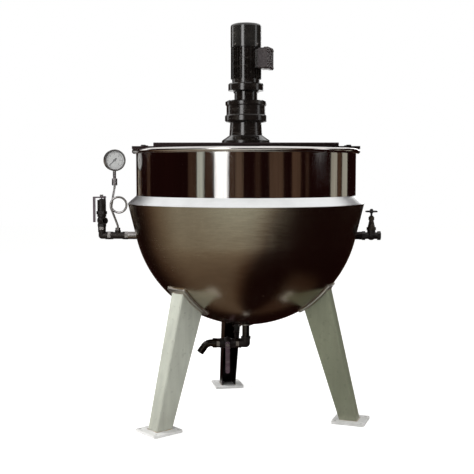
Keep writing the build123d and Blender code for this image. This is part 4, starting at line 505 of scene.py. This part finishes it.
def make_finishes(colours):
    """All finishes, by material slot or by their own name where they aren't a slot's."""
    upright = (30.0, 30.0, 3.0)
    # Dark brown for the legs' faces that look inwards: painted shade.
    inward_painted_shade = (0.10, 0.085, 0.07)
    FINISH.update({
        "kettle": mirror_sheet("polished_kettle", tuple(colours.kettle), 0.07),
        "rim": turned_sheet("polished_rim", (0.76, 0.73, 0.71), 0.14, 30.0, 0.0002, 0.15),
        "jacket": turned_sheet("brushed_jacket", tuple(colours.jacket), 0.21, 46.0, 0.0002, 0.22),
        "collar": turned_sheet("satin_collar", tuple(colours.collar), 0.32, 12.0, 0.00002, 0.05),
        "leg": satin_sheet("satin_leg", tuple(colours.legs), 0.42, 0.30, upright, inward_painted_shade),
        # The right leg's and the rear leg's finishes are the legs' finish darkened as painted shade: half dark on
        # the right, near black at the rear.
        "leg_painted_half_shade": satin_sheet("dull_leg", (0.27, 0.285, 0.20), 0.42, 0.30, upright, inward_painted_shade),
        "leg_painted_shade": satin_sheet("shaded_leg", (0.060, 0.045, 0.052), 0.30, 1.0, upright, (0.02, 0.016, 0.018)),
        # The foot plates: steel painted near white as the light that falls on them.
        "foot": satin_sheet("pale_foot", (0.93, 0.93, 0.91), 0.50, 0.05, (30.0, 30.0, 30.0)),
        "pad": satin_sheet("satin_pad", (0.58, 0.55, 0.50), 0.34, 0.9),
        "bridge": satin_sheet("dark_beam", (0.030, 0.020, 0.020), 0.38, 0.9, (260.0, 4.0, 4.0)),
        "black_bolt": machined("black_bolt", (0.070, 0.062, 0.058), 0.30),
        # The outlet tube and spout under the bowl: polished steel painted near black as shade.
        "dark_pipe": machined("dark_pipe", (0.075, 0.066, 0.062), 0.20),
        "bolt": machined("plain_bolt", (0.46, 0.44, 0.42), 0.3),
        "drive": enamel("drive_enamel", tuple(colours.drive)),
        "fan_cover": enamel("cover_enamel", (0.012, 0.0115, 0.0105), 0.16, 0.6, 0.0002),
        "box": enamel("box_enamel", (0.022, 0.015, 0.016), 0.26, 0.3, 0.0004),
        "gland": moulded("gland_plastic", (0.03, 0.03, 0.03)),
        "bearing": machined("ground_ring", (0.60, 0.60, 0.60), 0.18),
        "shaft": machined("turned_shaft", (0.50, 0.49, 0.47), 0.26),
        "fan": moulded("fan_plastic", (0.07, 0.07, 0.07)),
        "agitator": satin_sheet("satin_agitator", (0.60, 0.59, 0.57), 0.30, 1.0),
        "wiper": moulded("wiper_plastic", (0.80, 0.80, 0.76), 0.5, 0.0003),
        "fitting": cast_metal("dark_fitting", (0.030, 0.024, 0.022), 0.38, 0.6),
        # The nipples on the steam side are painted near black as shade.
        "nipple": machined("plated_nipple", (0.36, 0.34, 0.33), 0.28, 1.0, (0.020, 0.016, 0.016)),
        "valve_dark": cast_metal("dark_valve", (0.014, 0.011, 0.011), 0.34, 0.3),
        "bonnet": cast_metal("dull_bonnet", (0.060, 0.046, 0.034), 0.36, 0.7),
        "spring": machined("spring_steel", (0.40, 0.40, 0.40), 0.3),
        "handle": enamel("handle_enamel", (0.060, 0.038, 0.050), 0.24, 0.5, 0.0003),
        "tube": machined("bright_tube", (0.46, 0.44, 0.44), 0.20),
        "gauge": machined("bright_case", (0.50, 0.48, 0.49), 0.16),
        "dial": printed_dial("dial_card"),
        "pointer": ink("pointer_black", (0.02, 0.02, 0.02)),
        "glass": gauge_pane("gauge_pane"),
        "bezel": machined("gauge_bezel", (0.26, 0.25, 0.25), 0.30),
        "weld": weld_metal("weld_metal", (0.66, 0.63, 0.60)),
        "ink_black": ink("scale_black", (0.02, 0.02, 0.02)),
    })


# ---------------------------------------------------------------- mesh building
def linked(name, data):
    """An object of that data in the scene."""
    made = bpy.data.objects.new(name, data)
    bpy.context.scene.collection.objects.link(made)
    return made


def finished(mesh_object, body, slot, finish=None):
    """Gives a piece its finish and lets it ride on its body."""
    mesh_object.data.materials.clear()
    mesh_object.data.materials.append(FINISH[finish or slot])
    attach(mesh_object, body)
    return mesh_object


def object_from(name, vertices, faces, smooth_angle=30.0):
    """A mesh object in the kettle's own frame, in metres."""
    mesh = bpy.data.meshes.new(name)
    mesh.from_pydata([tuple(v) for v in vertices], [], faces)
    tool = bmesh.new()
    tool.from_mesh(mesh)
    bmesh.ops.remove_doubles(tool, verts=tool.verts, dist=1e-6)
    bmesh.ops.recalc_face_normals(tool, faces=tool.faces)
    tool.to_mesh(mesh)
    tool.free()
    mesh.shade_smooth()
    mesh.set_sharp_from_angle(angle=math.radians(smooth_angle))
    return linked(name, mesh)


def lathed(name, profile, facets):
    """Closed ring turned about Z from a closed profile of (radius, height) points."""
    count = len(profile)
    vertices = []
    for i in range(facets):
        turn = 2 * math.pi * i / facets
        c, s = math.cos(turn), math.sin(turn)
        vertices += [(r * c, r * s, z) for r, z in profile]
    faces = []
    for i in range(facets):
        here, there = i * count, (i + 1) % facets * count
        for j in range(count):
            k = (j + 1) % count
            faces.append((here + j, there + j, there + k, here + k))
    return object_from(name, vertices, faces)


def arc(centre, radius, start, stop, steps):
    """Points (radius, height) of an arc between two angles in degrees."""
    points = []
    for i in range(steps + 1):
        angle = math.radians(start + (stop - start) * i / steps)
        points.append((centre[0] + radius * math.cos(angle), centre[1] + radius * math.sin(angle)))
    return points


class Rule:
    """A Geometry Nodes tree with named inputs, ending in Realize Instances and Set Material."""

    def __init__(self, name, inputs):
        self.tree = bpy.data.node_groups.new(name, "GeometryNodeTree")
        face = self.tree.interface
        face.new_socket("Geometry", in_out="INPUT", socket_type="NodeSocketGeometry")
        for label, kind in inputs.items():
            face.new_socket(label, in_out="INPUT", socket_type="NodeSocket" + kind)
        face.new_socket("Material", in_out="INPUT", socket_type="NodeSocketMaterial")
        face.new_socket("Geometry", in_out="OUTPUT", socket_type="NodeSocketGeometry")
        self.entry = self.tree.nodes.new("NodeGroupInput")

    def given(self, label):
        return self.entry.outputs[label]

    def node(self, kind, settings=None, sockets=None):
        """Adds a node of that type with its settings, then its sockets; gives back its first output."""
        node = self.tree.nodes.new(kind)
        for key, value in (settings or {}).items():
            setattr(node, key, value)
        for key, value in (sockets or {}).items():
            if isinstance(value, bpy.types.NodeSocket):
                self.tree.links.new(value, node.inputs[key])
            elif isinstance(value, list):
                for one in value:
                    self.tree.links.new(one, node.inputs[key])
            else:
                node.inputs[key].default_value = value
        return node.outputs[0]

    def math(self, operation, *values):
        return self.node("ShaderNodeMath", {"operation": operation}, dict(enumerate(values)))

    def vector(self, x=0.0, y=0.0, z=0.0):
        return self.node("ShaderNodeCombineXYZ", None, {0: x, 1: y, 2: z})

    def close(self, geometry):
        real = self.node("GeometryNodeRealizeInstances", None, {0: geometry})
        flat = self.node("GeometryNodeSetShadeSmooth", None, {0: real, "Shade Smooth": False})
        painted = self.node("GeometryNodeSetMaterial", None, {0: flat, "Material": self.given("Material")})
        out = self.tree.nodes.new("NodeGroupOutput")
        self.tree.links.new(painted, out.inputs[0])
        return self.tree


def grown(name, tree, values, start=None, place=None):
    """Plain mesh object made by a rule from its values and, where it needs one, a starting mesh."""
    holder = linked(name, start or bpy.data.meshes.new(name))
    modifier = holder.modifiers.new("rule", "NODES")
    modifier.node_group = tree
    for item in tree.interface.items_tree:
        if item.item_type == "SOCKET" and item.in_out == "INPUT" and item.name in values:
            modifier[item.identifier] = values[item.name]
    view = bpy.context.evaluated_depsgraph_get()
    view.update()
    result = bpy.data.meshes.new_from_object(holder.evaluated_get(view), depsgraph=view)
    holder.modifiers.clear()
    holder.data = result
    result.name = name
    if place is not None:
        result.transform(place)
    return holder


def joined(name, parts):
    """One object from several mesh objects in the same frame."""
    tool = bmesh.new()
    for part in parts:
        tool.from_mesh(part.data)
        bpy.data.objects.remove(part)
    mesh = bpy.data.meshes.new(name)
    tool.to_mesh(mesh)
    tool.free()
    return linked(name, mesh)


def bolt_circle_rule():
    """Hexagon heads with washers on a circle about Z, standing up or, at full tilt, pointing away from it."""
    rule = Rule("bolt_circle", {"Count": "Int", "Circle Radius": "Float", "Head Radius": "Float",
                                "Head Height": "Float", "Turn": "Float", "Tilt": "Float"})
    radius, tall, tilt = (rule.given(label) for label in ("Head Radius", "Head Height", "Tilt"))
    circle = rule.node("GeometryNodeMeshCircle", None,
                       {"Vertices": rule.given("Count"), "Radius": rule.given("Circle Radius")})
    pieces = []
    for corners, width, height, middle in SCREW_PARTS:
        shape = rule.node("GeometryNodeMeshCylinder", {"fill_type": "NGON"},
                          {"Vertices": corners, "Radius": rule.math("MULTIPLY", radius, width),
                           "Depth": rule.math("MULTIPLY", tall, height)})
        lift = rule.vector(z=rule.math("MULTIPLY", tall, middle))
        pieces.append(rule.node("GeometryNodeTransform", None, {0: shape, "Translation": lift}))
    bolt = rule.node("GeometryNodeJoinGeometry", None, {0: pieces})
    position = rule.node("GeometryNodeInputPosition")
    axes = rule.node("ShaderNodeSeparateXYZ", None, {0: position}).node.outputs
    way = rule.vector(rule.math("MULTIPLY", axes[0], tilt), rule.math("MULTIPLY", axes[1], tilt),
                      rule.math("SUBTRACT", 1.0, tilt))
    align = rule.node("FunctionNodeAlignRotationToVector", {"axis": "Z"}, {"Vector": way})
    spread = rule.node("GeometryNodeInstanceOnPoints", None,
                       {"Points": circle, "Instance": bolt, "Rotation": align})
    turn = rule.vector(z=rule.given("Turn"))
    return rule.close(rule.node("GeometryNodeTransform", None, {0: spread, "Rotation": turn}))


def weld_rule():
    """Overlapping ripples along a seam drawn as a line of edges."""
    rule = Rule("weld_seam", {"Ripple": "Float", "Half Width": "Float"})
    line = rule.node("GeometryNodeMeshToCurve", None, {0: rule.given("Geometry")})
    even = rule.node("GeometryNodeResampleCurve", {"mode": "LENGTH"},
                     {"Curve": line, "Length": rule.given("Ripple")})
    drop = rule.node("GeometryNodeMeshUVSphere", None, {"Segments": 10, "Rings": 6, "Radius": 1.0})
    flat = rule.node("GeometryNodeTransform", None, {0: drop, "Scale": (0.75, 1.0, 0.55)})
    tangent = rule.node("GeometryNodeInputTangent")
    align = rule.node("FunctionNodeAlignRotationToVector", {"axis": "X"}, {"Vector": tangent})
    return rule.close(rule.node("GeometryNodeInstanceOnPoints", None,
                                {"Points": even, "Instance": flat, "Rotation": align,
                                 "Scale": rule.given("Half Width")}))


def scale_rule():
    """Radial marks of a dial, drawn in the XY plane, from the zero mark clockwise."""
    rule = Rule("dial_scale", {"Count": "Int", "Radius": "Float", "Length": "Float", "Width": "Float",
                               "Sweep": "Float"})
    count, length = rule.given("Count"), rule.given("Length")
    line = rule.node("GeometryNodeMeshLine", {"mode": "OFFSET"}, {"Count": count, "Offset": (0.0, 0.0, 0.0)})
    mark = rule.node("GeometryNodeMeshCube", None, {"Size": rule.vector(length, rule.given("Width"), 0.0002)})
    middle = rule.math("MULTIPLY_ADD", length, -0.5, rule.given("Radius"))
    moved = rule.node("GeometryNodeTransform", None, {0: mark, "Translation": rule.vector(middle)})
    index = rule.node("GeometryNodeInputIndex")
    share = rule.math("DIVIDE", index, rule.math("SUBTRACT", count, 1.0))
    angle = rule.math("SUBTRACT", ZERO_MARK, rule.math("MULTIPLY", share, rule.given("Sweep")))
    return rule.close(rule.node("GeometryNodeInstanceOnPoints", None,
                                {"Points": line, "Instance": moved, "Rotation": rule.vector(z=angle)}))


def seam_mesh(name, points, closed=True):
    """Line of edges through points, to weld along."""
    mesh = bpy.data.meshes.new(name)
    edges = [(i, i + 1) for i in range(len(points) - 1)]
    if closed:
        edges.append((len(points) - 1, 0))
    mesh.from_pydata([tuple(p) for p in points], edges, [])
    return mesh


# ---------------------------------------------------------------- cards of the studio
# Strips of light in the ring of dark cards: lowest and highest edge in metres, then the first angle, the last
# angle and the brightness of each strip. Angles run from the front towards the steam side, in degrees.
RING_CARDS = (
    (-0.5, 1.45, ((-180, -168, 1.0), (-147, -141, 0.30), (-141, -135, 0.12), (-118, -112, 0.05),
                  (-58, -49, 0.045), (-48, -41, 0.52), (-40, -32, 0.04), (-30, -17, 1.5), (-16, -11, 0.055),
                  (-10, -3, 0.11), (9, 14, 0.025), (22, 36, 0.085), (45, 54, 0.08), (60, 64, 0.03),
                  (93, 103, 0.38), (103, 111, 0.06), (112, 124, 0.40), (168, 180, 1.0))),
    (1.45, 4.6, ((-124, -112, 1.6), (-34, -16, 4.5), (72, 86, 1.2), (150, 162, 3.0))),
)
# Colour of a card by its brightness.
CARD_SHADES = ((0.0, (0.010, 0.0025, 0.002)), (0.08, (0.084, 0.046, 0.028)), (0.25, (0.25, 0.195, 0.14)),
               (0.7, (0.66, 0.72, 0.64)), (1.0, (1.0, 1.0, 1.0)))
# Distance of the ring from the bowl's axis, and the width of its cards in degrees.
CARD_REACH = 6.5
CARD_STEP = 0.5
# The floor's cards: sectors and rings, the hole in their middle and their height.
FLOOR_SECTORS, FLOOR_RINGS = 180, 44
FLOOR_HOLE = 0.02
FLOOR_CARD_HEIGHT = 0.003
# The card overhead: corners and brightness.
OVERHEAD_CARD = ((-1.9, 0.1, 4.6), (-0.7, 0.1, 4.6), (-0.7, 1.1, 4.6), (-1.9, 1.1, 4.6))
OVERHEAD_TONE = 0.22

FLOOR_HALF = 14.0
CAMERA_PLACE = (0.0, -3.962, 1.1231)
CAMERA_TURN = (math.pi / 2 - 0.0756, 0.0, 0.0104)
SENSOR_WIDTH = 36.0
LAMP_PLACES = {"left": (-4.23, 0.75, 1.9), "right": (4.15, -1.11, 1.5), "front": (-1.4, -4.1, 2.6)}
LAMP_SIZE = 2.2
LAMP_AIM = Vector((0, 0, 0.8))


def eased(value, low, high):
    """0 below low, 1 above high, and a smooth rise between."""
    share = min(1.0, max(0.0, (value - low) / (high - low)))
    return share * share * (3 - 2 * share)


def floor_tone(angle, radius):
    """Brightness of the cards on the floor: a bright sheet at the front left, dim ones behind and at the side."""
    far = eased(radius, 0.6, 3.0)
    edge = -20 + 17 * min(radius, 3.6)
    sheet = eased(angle, -122, -56) * (1 - eased(angle, edge - 13, edge + 13))
    front = sheet * (0.14 + 0.28 * far + 0.40 * eased(angle, -50, -5) * eased(radius, 1.6, 3.0))
    behind = 0.30 * eased(abs(angle), 150, 175) * eased(radius, 1.0, 2.5)
    side = 0.05 * eased(angle, 40, 60) * (1 - eased(angle, 95, 115)) * (1 - eased(radius, 0.7, 1.1))
    return max(front, behind, side)


# ---------------------------------------------------------------- operators
class KETTLE_OT_finishes(bpy.types.Operator):
    """Make every finish and give each solid of the kettle its own"""

    bl_idname = "kettle.finishes"
    bl_label = "Finishes"

    def execute(self, context):
        make_finishes(context.scene.kettle_finishes)
        for name, node in NODES.items():
            node.data.materials.clear()
            node.data.materials.append(FINISH[OWN_FINISH.get(name, SLOT_OF_NODE[name])])
        return {"FINISHED"}


class KETTLE_OT_shells(bpy.types.Operator):
    """Turn the bowl, the jacket, the closing ring and the rim bead as smooth skins"""

    bl_idname = "kettle.shells"
    bl_label = "Turned shells"

    def execute(self, context):
        sizes = context.scene.kettle_shells
        facets = sizes.facets
        hole = TUBE_HIGH.x
        outer = KETTLE_HIGH.x
        inner = outer - sizes.wall
        centre = KETTLE_LOW.z + math.sqrt(outer ** 2 - hole ** 2)
        top = KETTLE_HIGH.z
        start_out = math.degrees(math.asin(hole / outer)) - 90
        start_in = math.degrees(math.asin(hole / inner)) - 90
        profile = arc((0, centre), outer, start_out, 0, ARC_STEPS) + [(outer, top)]
        profile += [(inner, top)] + arc((0, centre), inner, 0, start_in, ARC_STEPS)
        bowl = lathed("bowl_skin", profile, facets)
        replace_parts(finished(bowl, "stand", "kettle"), "inner_kettle")

        bead_r = sizes.bead_radius
        bead_at = (RIM_HIGH.x - bead_r, RIM_HIGH.z - bead_r)
        bead = lathed("rim_bead_skin", arc(bead_at, bead_r, 0, 345, BEAD_STEPS), facets)
        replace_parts(finished(bead, "stand", "rim"), "rim_ring")

        sphere = sizes.jacket_sphere
        middle = JACKET_LOW.z + math.sqrt(sphere ** 2 - hole ** 2)
        rise = JACKET_HIGH.z - middle
        brim = min(JACKET_HIGH.x, -JACKET_LOW.y)
        tangent = math.degrees(math.atan2(rise, brim) - math.acos(sphere / math.hypot(rise, brim)))
        wall = sizes.jacket_wall
        start_out = math.degrees(math.asin(hole / sphere)) - 90
        start_in = math.degrees(math.asin(hole / (sphere - wall))) - 90
        profile = arc((0, middle), sphere, start_out, tangent, ARC_STEPS)
        profile += [(brim, JACKET_HIGH.z), (brim - wall, JACKET_HIGH.z)]
        profile += arc((0, middle), sphere - wall, tangent, start_in, ARC_STEPS)
        jacket = lathed("jacket_skin", profile, facets)
        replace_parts(finished(jacket, "stand", "jacket"), "jacket_shell")

        reach, low, high = min(COLLAR_HIGH.x, -COLLAR_LOW.y), COLLAR_LOW.z, COLLAR_HIGH.z
        profile = [(reach + r, low + z) for r, z in OUTER_LIP] + [(outer + r, high + z) for r, z in INNER_LIP]
        profile.append((reach - COLLAR_WALL, low))
        collar = lathed("closing_ring_skin", profile, facets)
        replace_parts(finished(collar, "stand", "collar"), "jacket_collar")
        return {"FINISHED"}


def leg_corners(legs, z):
    """Corners of a leg's channel at a height, round its outside from one flange's edge to the other's."""
    rise = z - legs.plate
    reach = legs.reach - legs.lean * rise
    depth = legs.depth + legs.depth_gain * rise
    half = (legs.width + legs.width_gain * rise) / 2
    return [Vector((reach - depth, half, z)), Vector((reach, half, z)),
            Vector((reach, -half, z)), Vector((reach - depth, -half, z))]


def leg_on_pad(legs, side, share, centre, radius):
    """Point where a line up one of the leg's sides meets its pad."""
    low, high = legs.plate, centre.z - radius / 2
    for _ in range(30):
        z = (low + high) / 2
        corners = leg_corners(legs, z)
        point = corners[side].lerp(corners[side + 1], share)
        if (point - centre).length > radius:
            low = z
        else:
            high = z
    return point


def leg_line(legs, centre, radius):
    """Weld line between a leg and its pad, cut across the leg's bends."""
    points = []
    for side, first, last in ((0, 0.0, 0.94), (1, 0.10, 0.90), (2, 0.06, 1.0)):
        points += [leg_on_pad(legs, side, first + (last - first) * i / 12, centre, radius) for i in range(13)]
    return points


def pad_line(legs, centre, radius):
    """Weld line round a pad, on the jacket."""
    turn = legs.pad_turn
    along = Vector((-math.sin(turn), 0, -math.cos(turn)))
    out = Vector((math.cos(turn), 0, -math.sin(turn)))
    half_l, half_w, corner = legs.pad_length / 2, legs.pad_width / 2, legs.pad_corner
    flat = []
    for quarter, (u, v) in enumerate(((1, 1), (-1, 1), (-1, -1), (1, -1))):
        for i in range(6):
            angle = math.radians(90 * quarter + 18 * i)
            flat.append(Vector((u * (half_l - corner) + corner * math.cos(angle),
                                v * (half_w - corner) + corner * math.sin(angle))))
    points = []
    for first, last in zip(flat, flat[1:] + flat[:1]):
        steps = max(1, round((last - first).length / PAD_STEP))
        for i in range(steps):
            u, v = first.lerp(last, i / steps)
            points.append(centre + along * u + Vector((0, v, 0)) + out * math.sqrt(radius ** 2 - u * u - v * v))
    return points


class KETTLE_OT_seams(bpy.types.Operator):
    """Weld beads of the sockets, the pads, the legs and the bottom outlet"""

    bl_idname = "kettle.seams"
    bl_label = "Weld seams"

    def execute(self, context):
        sizes = context.scene.kettle_seams
        legs = context.scene.kettle_legs
        sphere = context.scene.kettle_shells.jacket_sphere
        centre = Vector((0, 0, JACKET_LOW.z + math.sqrt(sphere ** 2 - TUBE_HIGH.x ** 2)))
        rule = weld_rule()
        values = {"Ripple": sizes.ripple, "Half Width": sizes.bead, "Material": FINISH["weld"]}
        seams = []

        def weld(points, closed):
            seams.append(grown("seam", rule, values, seam_mesh("seam", points, closed)))

        foot = reversed(leg_corners(legs, legs.plate))
        lines = [([Vector((point.x, point.y, legs.plate + SEAM_LIFT)) for point in foot], False),
                 (leg_line(legs, centre, sphere + legs.pad), False),
                 (pad_line(legs, centre, sphere + PAD_LIFT), True)]
        for i in range(3):
            turn = Matrix.Rotation(legs.first + 2 * math.pi * i / 3, 3, "Z")
            for points, closed in lines:
                weld([turn @ point for point in points], closed)
        weld(self.ring(OUTLET_WELD, lambda a, b: Vector((a, b, JACKET_LOW.z + SEAM_LIFT))), True)
        for side in (-1, 1):
            def on_jacket(a, b):
                height = sizes.service + b - centre.z
                out = math.sqrt(sphere ** 2 - a * a - height ** 2) + SOCKET_LIFT
                return Vector((side * out, a, sizes.service + b))
            weld(self.ring(sizes.socket, on_jacket), True)
        finished(joined("weld_seams", seams), "stand", "pad", "weld")
        return {"FINISHED"}

    def ring(self, radius, place):
        """Circle of points, each put where place says."""
        return [place(radius * math.cos(a), radius * math.sin(a)) for a in (math.pi * k / 24 for k in range(48))]


class KETTLE_OT_fasteners(bpy.types.Operator):
    """Screws of the fan cover and of the terminal box's lid"""

    bl_idname = "kettle.fasteners"
    bl_label = "Fasteners"

    def execute(self, context):
        sizes = context.scene.kettle_fasteners
        rule = bolt_circle_rule()
        cover = {"Count": sizes.cover_screws, "Circle Radius": COVER_HIGH.x, "Head Radius": sizes.cover_head,
                 "Head Height": COVER_HEAD_HEIGHT, "Turn": SCREW_TURN, "Tilt": 1.0, "Material": FINISH["bolt"]}
        lid = {"Count": 4, "Circle Radius": sizes.lid_circle, "Head Radius": sizes.lid_head,
               "Head Height": LID_HEAD_HEIGHT, "Turn": SCREW_TURN, "Tilt": 0.0, "Material": FINISH["bolt"]}
        out = Vector((math.cos(sizes.box_turn), math.sin(sizes.box_turn), 0))
        turn = Matrix.Rotation(sizes.box_turn, 4, "Z") @ Matrix.Rotation(math.pi / 2, 4, "Y")
        face = out * sizes.lid_out + Vector((0, 0, (LID_LOW.z + LID_HIGH.z) / 2))
        foot = Matrix.Translation((0, 0, COVER_LOW.z + COVER_SCREW_RISE))
        rings = [grown("cover_screws", rule, cover, place=foot),
                 grown("lid_screws", rule, lid, place=Matrix.Translation(face) @ turn)]
        finished(joined("cover_screws", rings), "stand", "bolt")
        return {"FINISHED"}


class KETTLE_OT_spring(bpy.types.Operator):
    """Spring of the safety valve, as its own copy of the solid's mesh"""

    bl_idname = "kettle.spring"
    bl_label = "Valve spring"

    def execute(self, context):
        low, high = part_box("safety_valve_spring")
        spindle = next(j for j in frame["record"]["behaviour"]["joints"] if j["name"] == "safety_spindle_lift")
        lift = spindle["range_m"][1]
        made = linked("valve_spring", NODES["safety_valve_spring"].data.copy())
        finished(made, "stand", "spring")
        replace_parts(made, "safety_valve_spring")
        1 - lift / (high.z - low.z)
        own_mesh(made)
        return {"FINISHED"}


class KETTLE_OT_dial(bpy.types.Operator):
    """Scale, numbers and bezel of the pressure gauge"""

    bl_idname = "kettle.dial"
    bl_label = "Dial and bezel"

    def execute(self, context):
        sizes = context.scene.kettle_dial
        needle = next(j for j in frame["joints"] if j["name"] == "gauge_needle_turn")
        normal = -Vector(needle["axis"]).normalized()
        up = Vector((0, 0, 1))
        side = up.cross(normal).normalized()
        place = Matrix((side, up, normal)).transposed().to_4x4()
        place.translation = Vector(needle["pos_m"]) + normal * PRINT_LIFT
        rule = scale_rule()
        radius = sizes.scale_radius
        marks = (("small_marks", sizes.steps + 1, 0.0035, 0.0005), ("large_marks", NUMBERS, 0.007, 0.0011),
                 ("scale_line", RING_MARKS, 0.0007, 0.0013))
        parts = [grown(name, rule, {"Count": count, "Radius": radius, "Length": length, "Width": width,
                                    "Sweep": sizes.sweep, "Material": FINISH["ink_black"]}, place=place)
                 for name, count, length, width in marks]
        for i in range(NUMBERS):
            angle = ZERO_MARK - sizes.sweep * i / (NUMBERS - 1)
            where = Vector((math.cos(angle), math.sin(angle), 0)) * (radius - NUMBER_INSET)
            parts.append(self.number(i, place @ Matrix.Translation(where + Vector((0, 0, 0.0001)))))
        finished(joined("dial_print", parts), "stand", "dial", "ink_black")

        bezel = lathed("gauge_bezel", [(r, sizes.front + z) for r, z in BEZEL], 96)
        place.translation = Vector(needle["pos_m"])
        bezel.data.transform(place)
        finished(bezel, "stand", "gauge", "bezel")
        return {"FINISHED"}

    def number(self, value, place):
        """One number of the scale as a flat mesh at its place."""
        text = bpy.data.curves.new(f"number_{value}", "FONT")
        text.body = str(value)
        text.size = NUMBER_SIZE
        text.align_x = text.align_y = "CENTER"
        writing = linked(text.name, text)
        view = bpy.context.evaluated_depsgraph_get()
        mesh = bpy.data.meshes.new_from_object(writing.evaluated_get(view), depsgraph=view)
        bpy.data.objects.remove(writing)
        mesh.transform(place)
        return linked(text.name, mesh)


class KETTLE_OT_studio(bpy.types.Operator):
    """Floor, sky, lamps, cards that gloss reflects, and camera"""

    bl_idname = "kettle.studio"
    bl_label = "Studio"

    def execute(self, context):
        studio = context.scene.kettle_studio
        scene = context.scene
        scene.view_settings.view_transform = "Standard"
        self.sky(scene, studio)
        self.floor(studio)
        self.cards()
        self.lamps(studio)
        camera = linked("camera", bpy.data.cameras.new("camera"))
        camera.data.lens = studio.lens
        camera.data.sensor_width = SENSOR_WIDTH
        camera.location = CAMERA_PLACE
        camera.rotation_euler = CAMERA_TURN
        scene.camera = camera
        return {"FINISHED"}

    def sky(self, scene, studio):
        s = Shade("studio_sky", "worlds")
        strength = s.remap(s.seen(), 0.0, 1.0, studio.sky, 1.0)
        light = s.node("ShaderNodeBackground", None, {"Color": (1, 1, 1, 1), "Strength": strength})
        scene.world = s.end(light, "ShaderNodeOutputWorld")

    def floor(self, studio):
        corners = [(x * FLOOR_HALF, y * FLOOR_HALF, 0) for x, y in ((-1, -1), (1, -1), (1, 1), (-1, 1))]
        floor = object_from("floor", corners, [(0, 1, 2, 3)])
        s = Shade("pale_floor")
        shown = s.node("ShaderNodeBsdfDiffuse", None, {"Color": (0.70, 0.70, 0.69, 1.0)})
        glow = s.node("ShaderNodeEmission", None, {"Color": (1, 1, 1, 1), "Strength": s.seen() * studio.glow})
        floor.data.materials.append(s.end(s.node("ShaderNodeAddShader", None, {0: shown, 1: glow})))

    def cards(self):
        """Cards that only gloss sees: dark ones all round and on the floor, with strips of light between."""
        points, faces, tones = [], [], []

        def card(corners, shades):
            faces.append(tuple(range(len(points), len(points) + 4)))
            points.extend(corners)
            tones.extend(shades)

        def at(angle, radius, z):
            a = math.radians(angle)
            return (radius * math.sin(a), -radius * math.cos(a), z)

        for low, high, strips in RING_CARDS:
            for i in range(round(360 / CARD_STEP)):
                first = -180 + i * CARD_STEP
                last = first + CARD_STEP
                lit = [tone for start, stop, tone in strips if start <= first < stop]
                corners = ((first, low), (last, low), (last, high), (first, high))
                card([at(angle, CARD_REACH, z) for angle, z in corners], [max(lit, default=0.0)] * 4)
        wide = 360 // FLOOR_SECTORS
        for i in range(FLOOR_SECTORS):
            angle = wide * i - 180
            for k in range(FLOOR_RINGS):
                near, far = (FLOOR_HOLE + CARD_REACH * n / FLOOR_RINGS for n in (k, k + 1))
                corners = ((angle, near), (angle + wide, near), (angle + wide, far), (angle, far))
                card([at(a, r, FLOOR_CARD_HEIGHT) for a, r in corners], [floor_tone(a, r) for a, r in corners])
        card(OVERHEAD_CARD, [OVERHEAD_TONE] * 4)
        mesh = bpy.data.meshes.new("cards")
        mesh.from_pydata(points, [], faces)
        mesh.attributes.new("tone", "FLOAT", "POINT").data.foreach_set("value", tones)
        cards = linked("cards", mesh)
        s = Shade("gloss_card")
        tone = s.node("ShaderNodeAttribute", {"attribute_name": "tone"}, output="Fac")
        shade = s.node("ShaderNodeValToRGB", {"stops": CARD_SHADES}, {0: tone})
        strength = s.math("MAXIMUM", tone, 1.0)
        mesh.materials.append(s.end(s.node("ShaderNodeEmission", None, {"Color": shade, "Strength": strength})))
        for kind in ("visible_camera", "visible_diffuse", "visible_shadow", "visible_transmission",
                     "visible_volume_scatter"):
            setattr(cards, kind, False)

    def lamps(self, studio):
        for side, at in LAMP_PLACES.items():
            lamp = linked(f"{side}_lamp", bpy.data.lights.new(f"{side}_lamp", "AREA"))
            lamp.data.energy = getattr(studio, side)
            lamp.data.size = LAMP_SIZE
            lamp.location = at
            lamp.rotation_euler = (LAMP_AIM - Vector(at)).to_track_quat("-Z", "Y").to_euler()
            lamp.visible_glossy = False


class KETTLE_PT_panel(bpy.types.Panel):
    """Lists the kettle's pieces in the order they are made"""

    bl_label = "Steam kettle"
    bl_idname = "KETTLE_PT_panel"
    bl_space_type = "VIEW_3D"
    bl_region_type = "UI"
    bl_category = "Kettle"

    def draw(self, context):
        for operator in OPERATORS:
            self.layout.operator(operator.bl_idname)
        for group in GROUPS:
            box = self.layout.box()
            for name in GROUPS[group].__annotations__:
                box.prop(getattr(context.scene, group), name)


OPERATORS = (KETTLE_OT_finishes, KETTLE_OT_shells, KETTLE_OT_seams, KETTLE_OT_fasteners, KETTLE_OT_spring,
             KETTLE_OT_dial, KETTLE_OT_studio)
GROUPS = {
    "kettle_shells": KettleShellSizes,
    "kettle_seams": KettleSeamSizes,
    "kettle_legs": KettleLegSizes,
    "kettle_fasteners": KettleFastenerSizes,
    "kettle_dial": KettleDialSizes,
    "kettle_finishes": KettleFinishes,
    "kettle_studio": KettleStudio,
}


def register():
    for name, group in GROUPS.items():
        bpy.utils.register_class(group)
        setattr(bpy.types.Scene, name, PointerProperty(type=group))
    for operator in OPERATORS:
        bpy.utils.register_class(operator)
    bpy.utils.register_class(KETTLE_PT_panel)


def unregister():
    bpy.utils.unregister_class(KETTLE_PT_panel)
    for operator in reversed(OPERATORS):
        bpy.utils.unregister_class(operator)
    for name, group in reversed(GROUPS.items()):
        delattr(bpy.types.Scene, name)
        bpy.utils.unregister_class(group)


def main():
    register()
    bpy.ops.kettle.finishes()
    bpy.ops.kettle.shells()
    bpy.ops.kettle.seams()
    bpy.ops.kettle.fasteners()
    bpy.ops.kettle.spring()
    bpy.ops.kettle.dial()
    bpy.ops.kettle.studio()


if __name__ == "__main__":
    main()
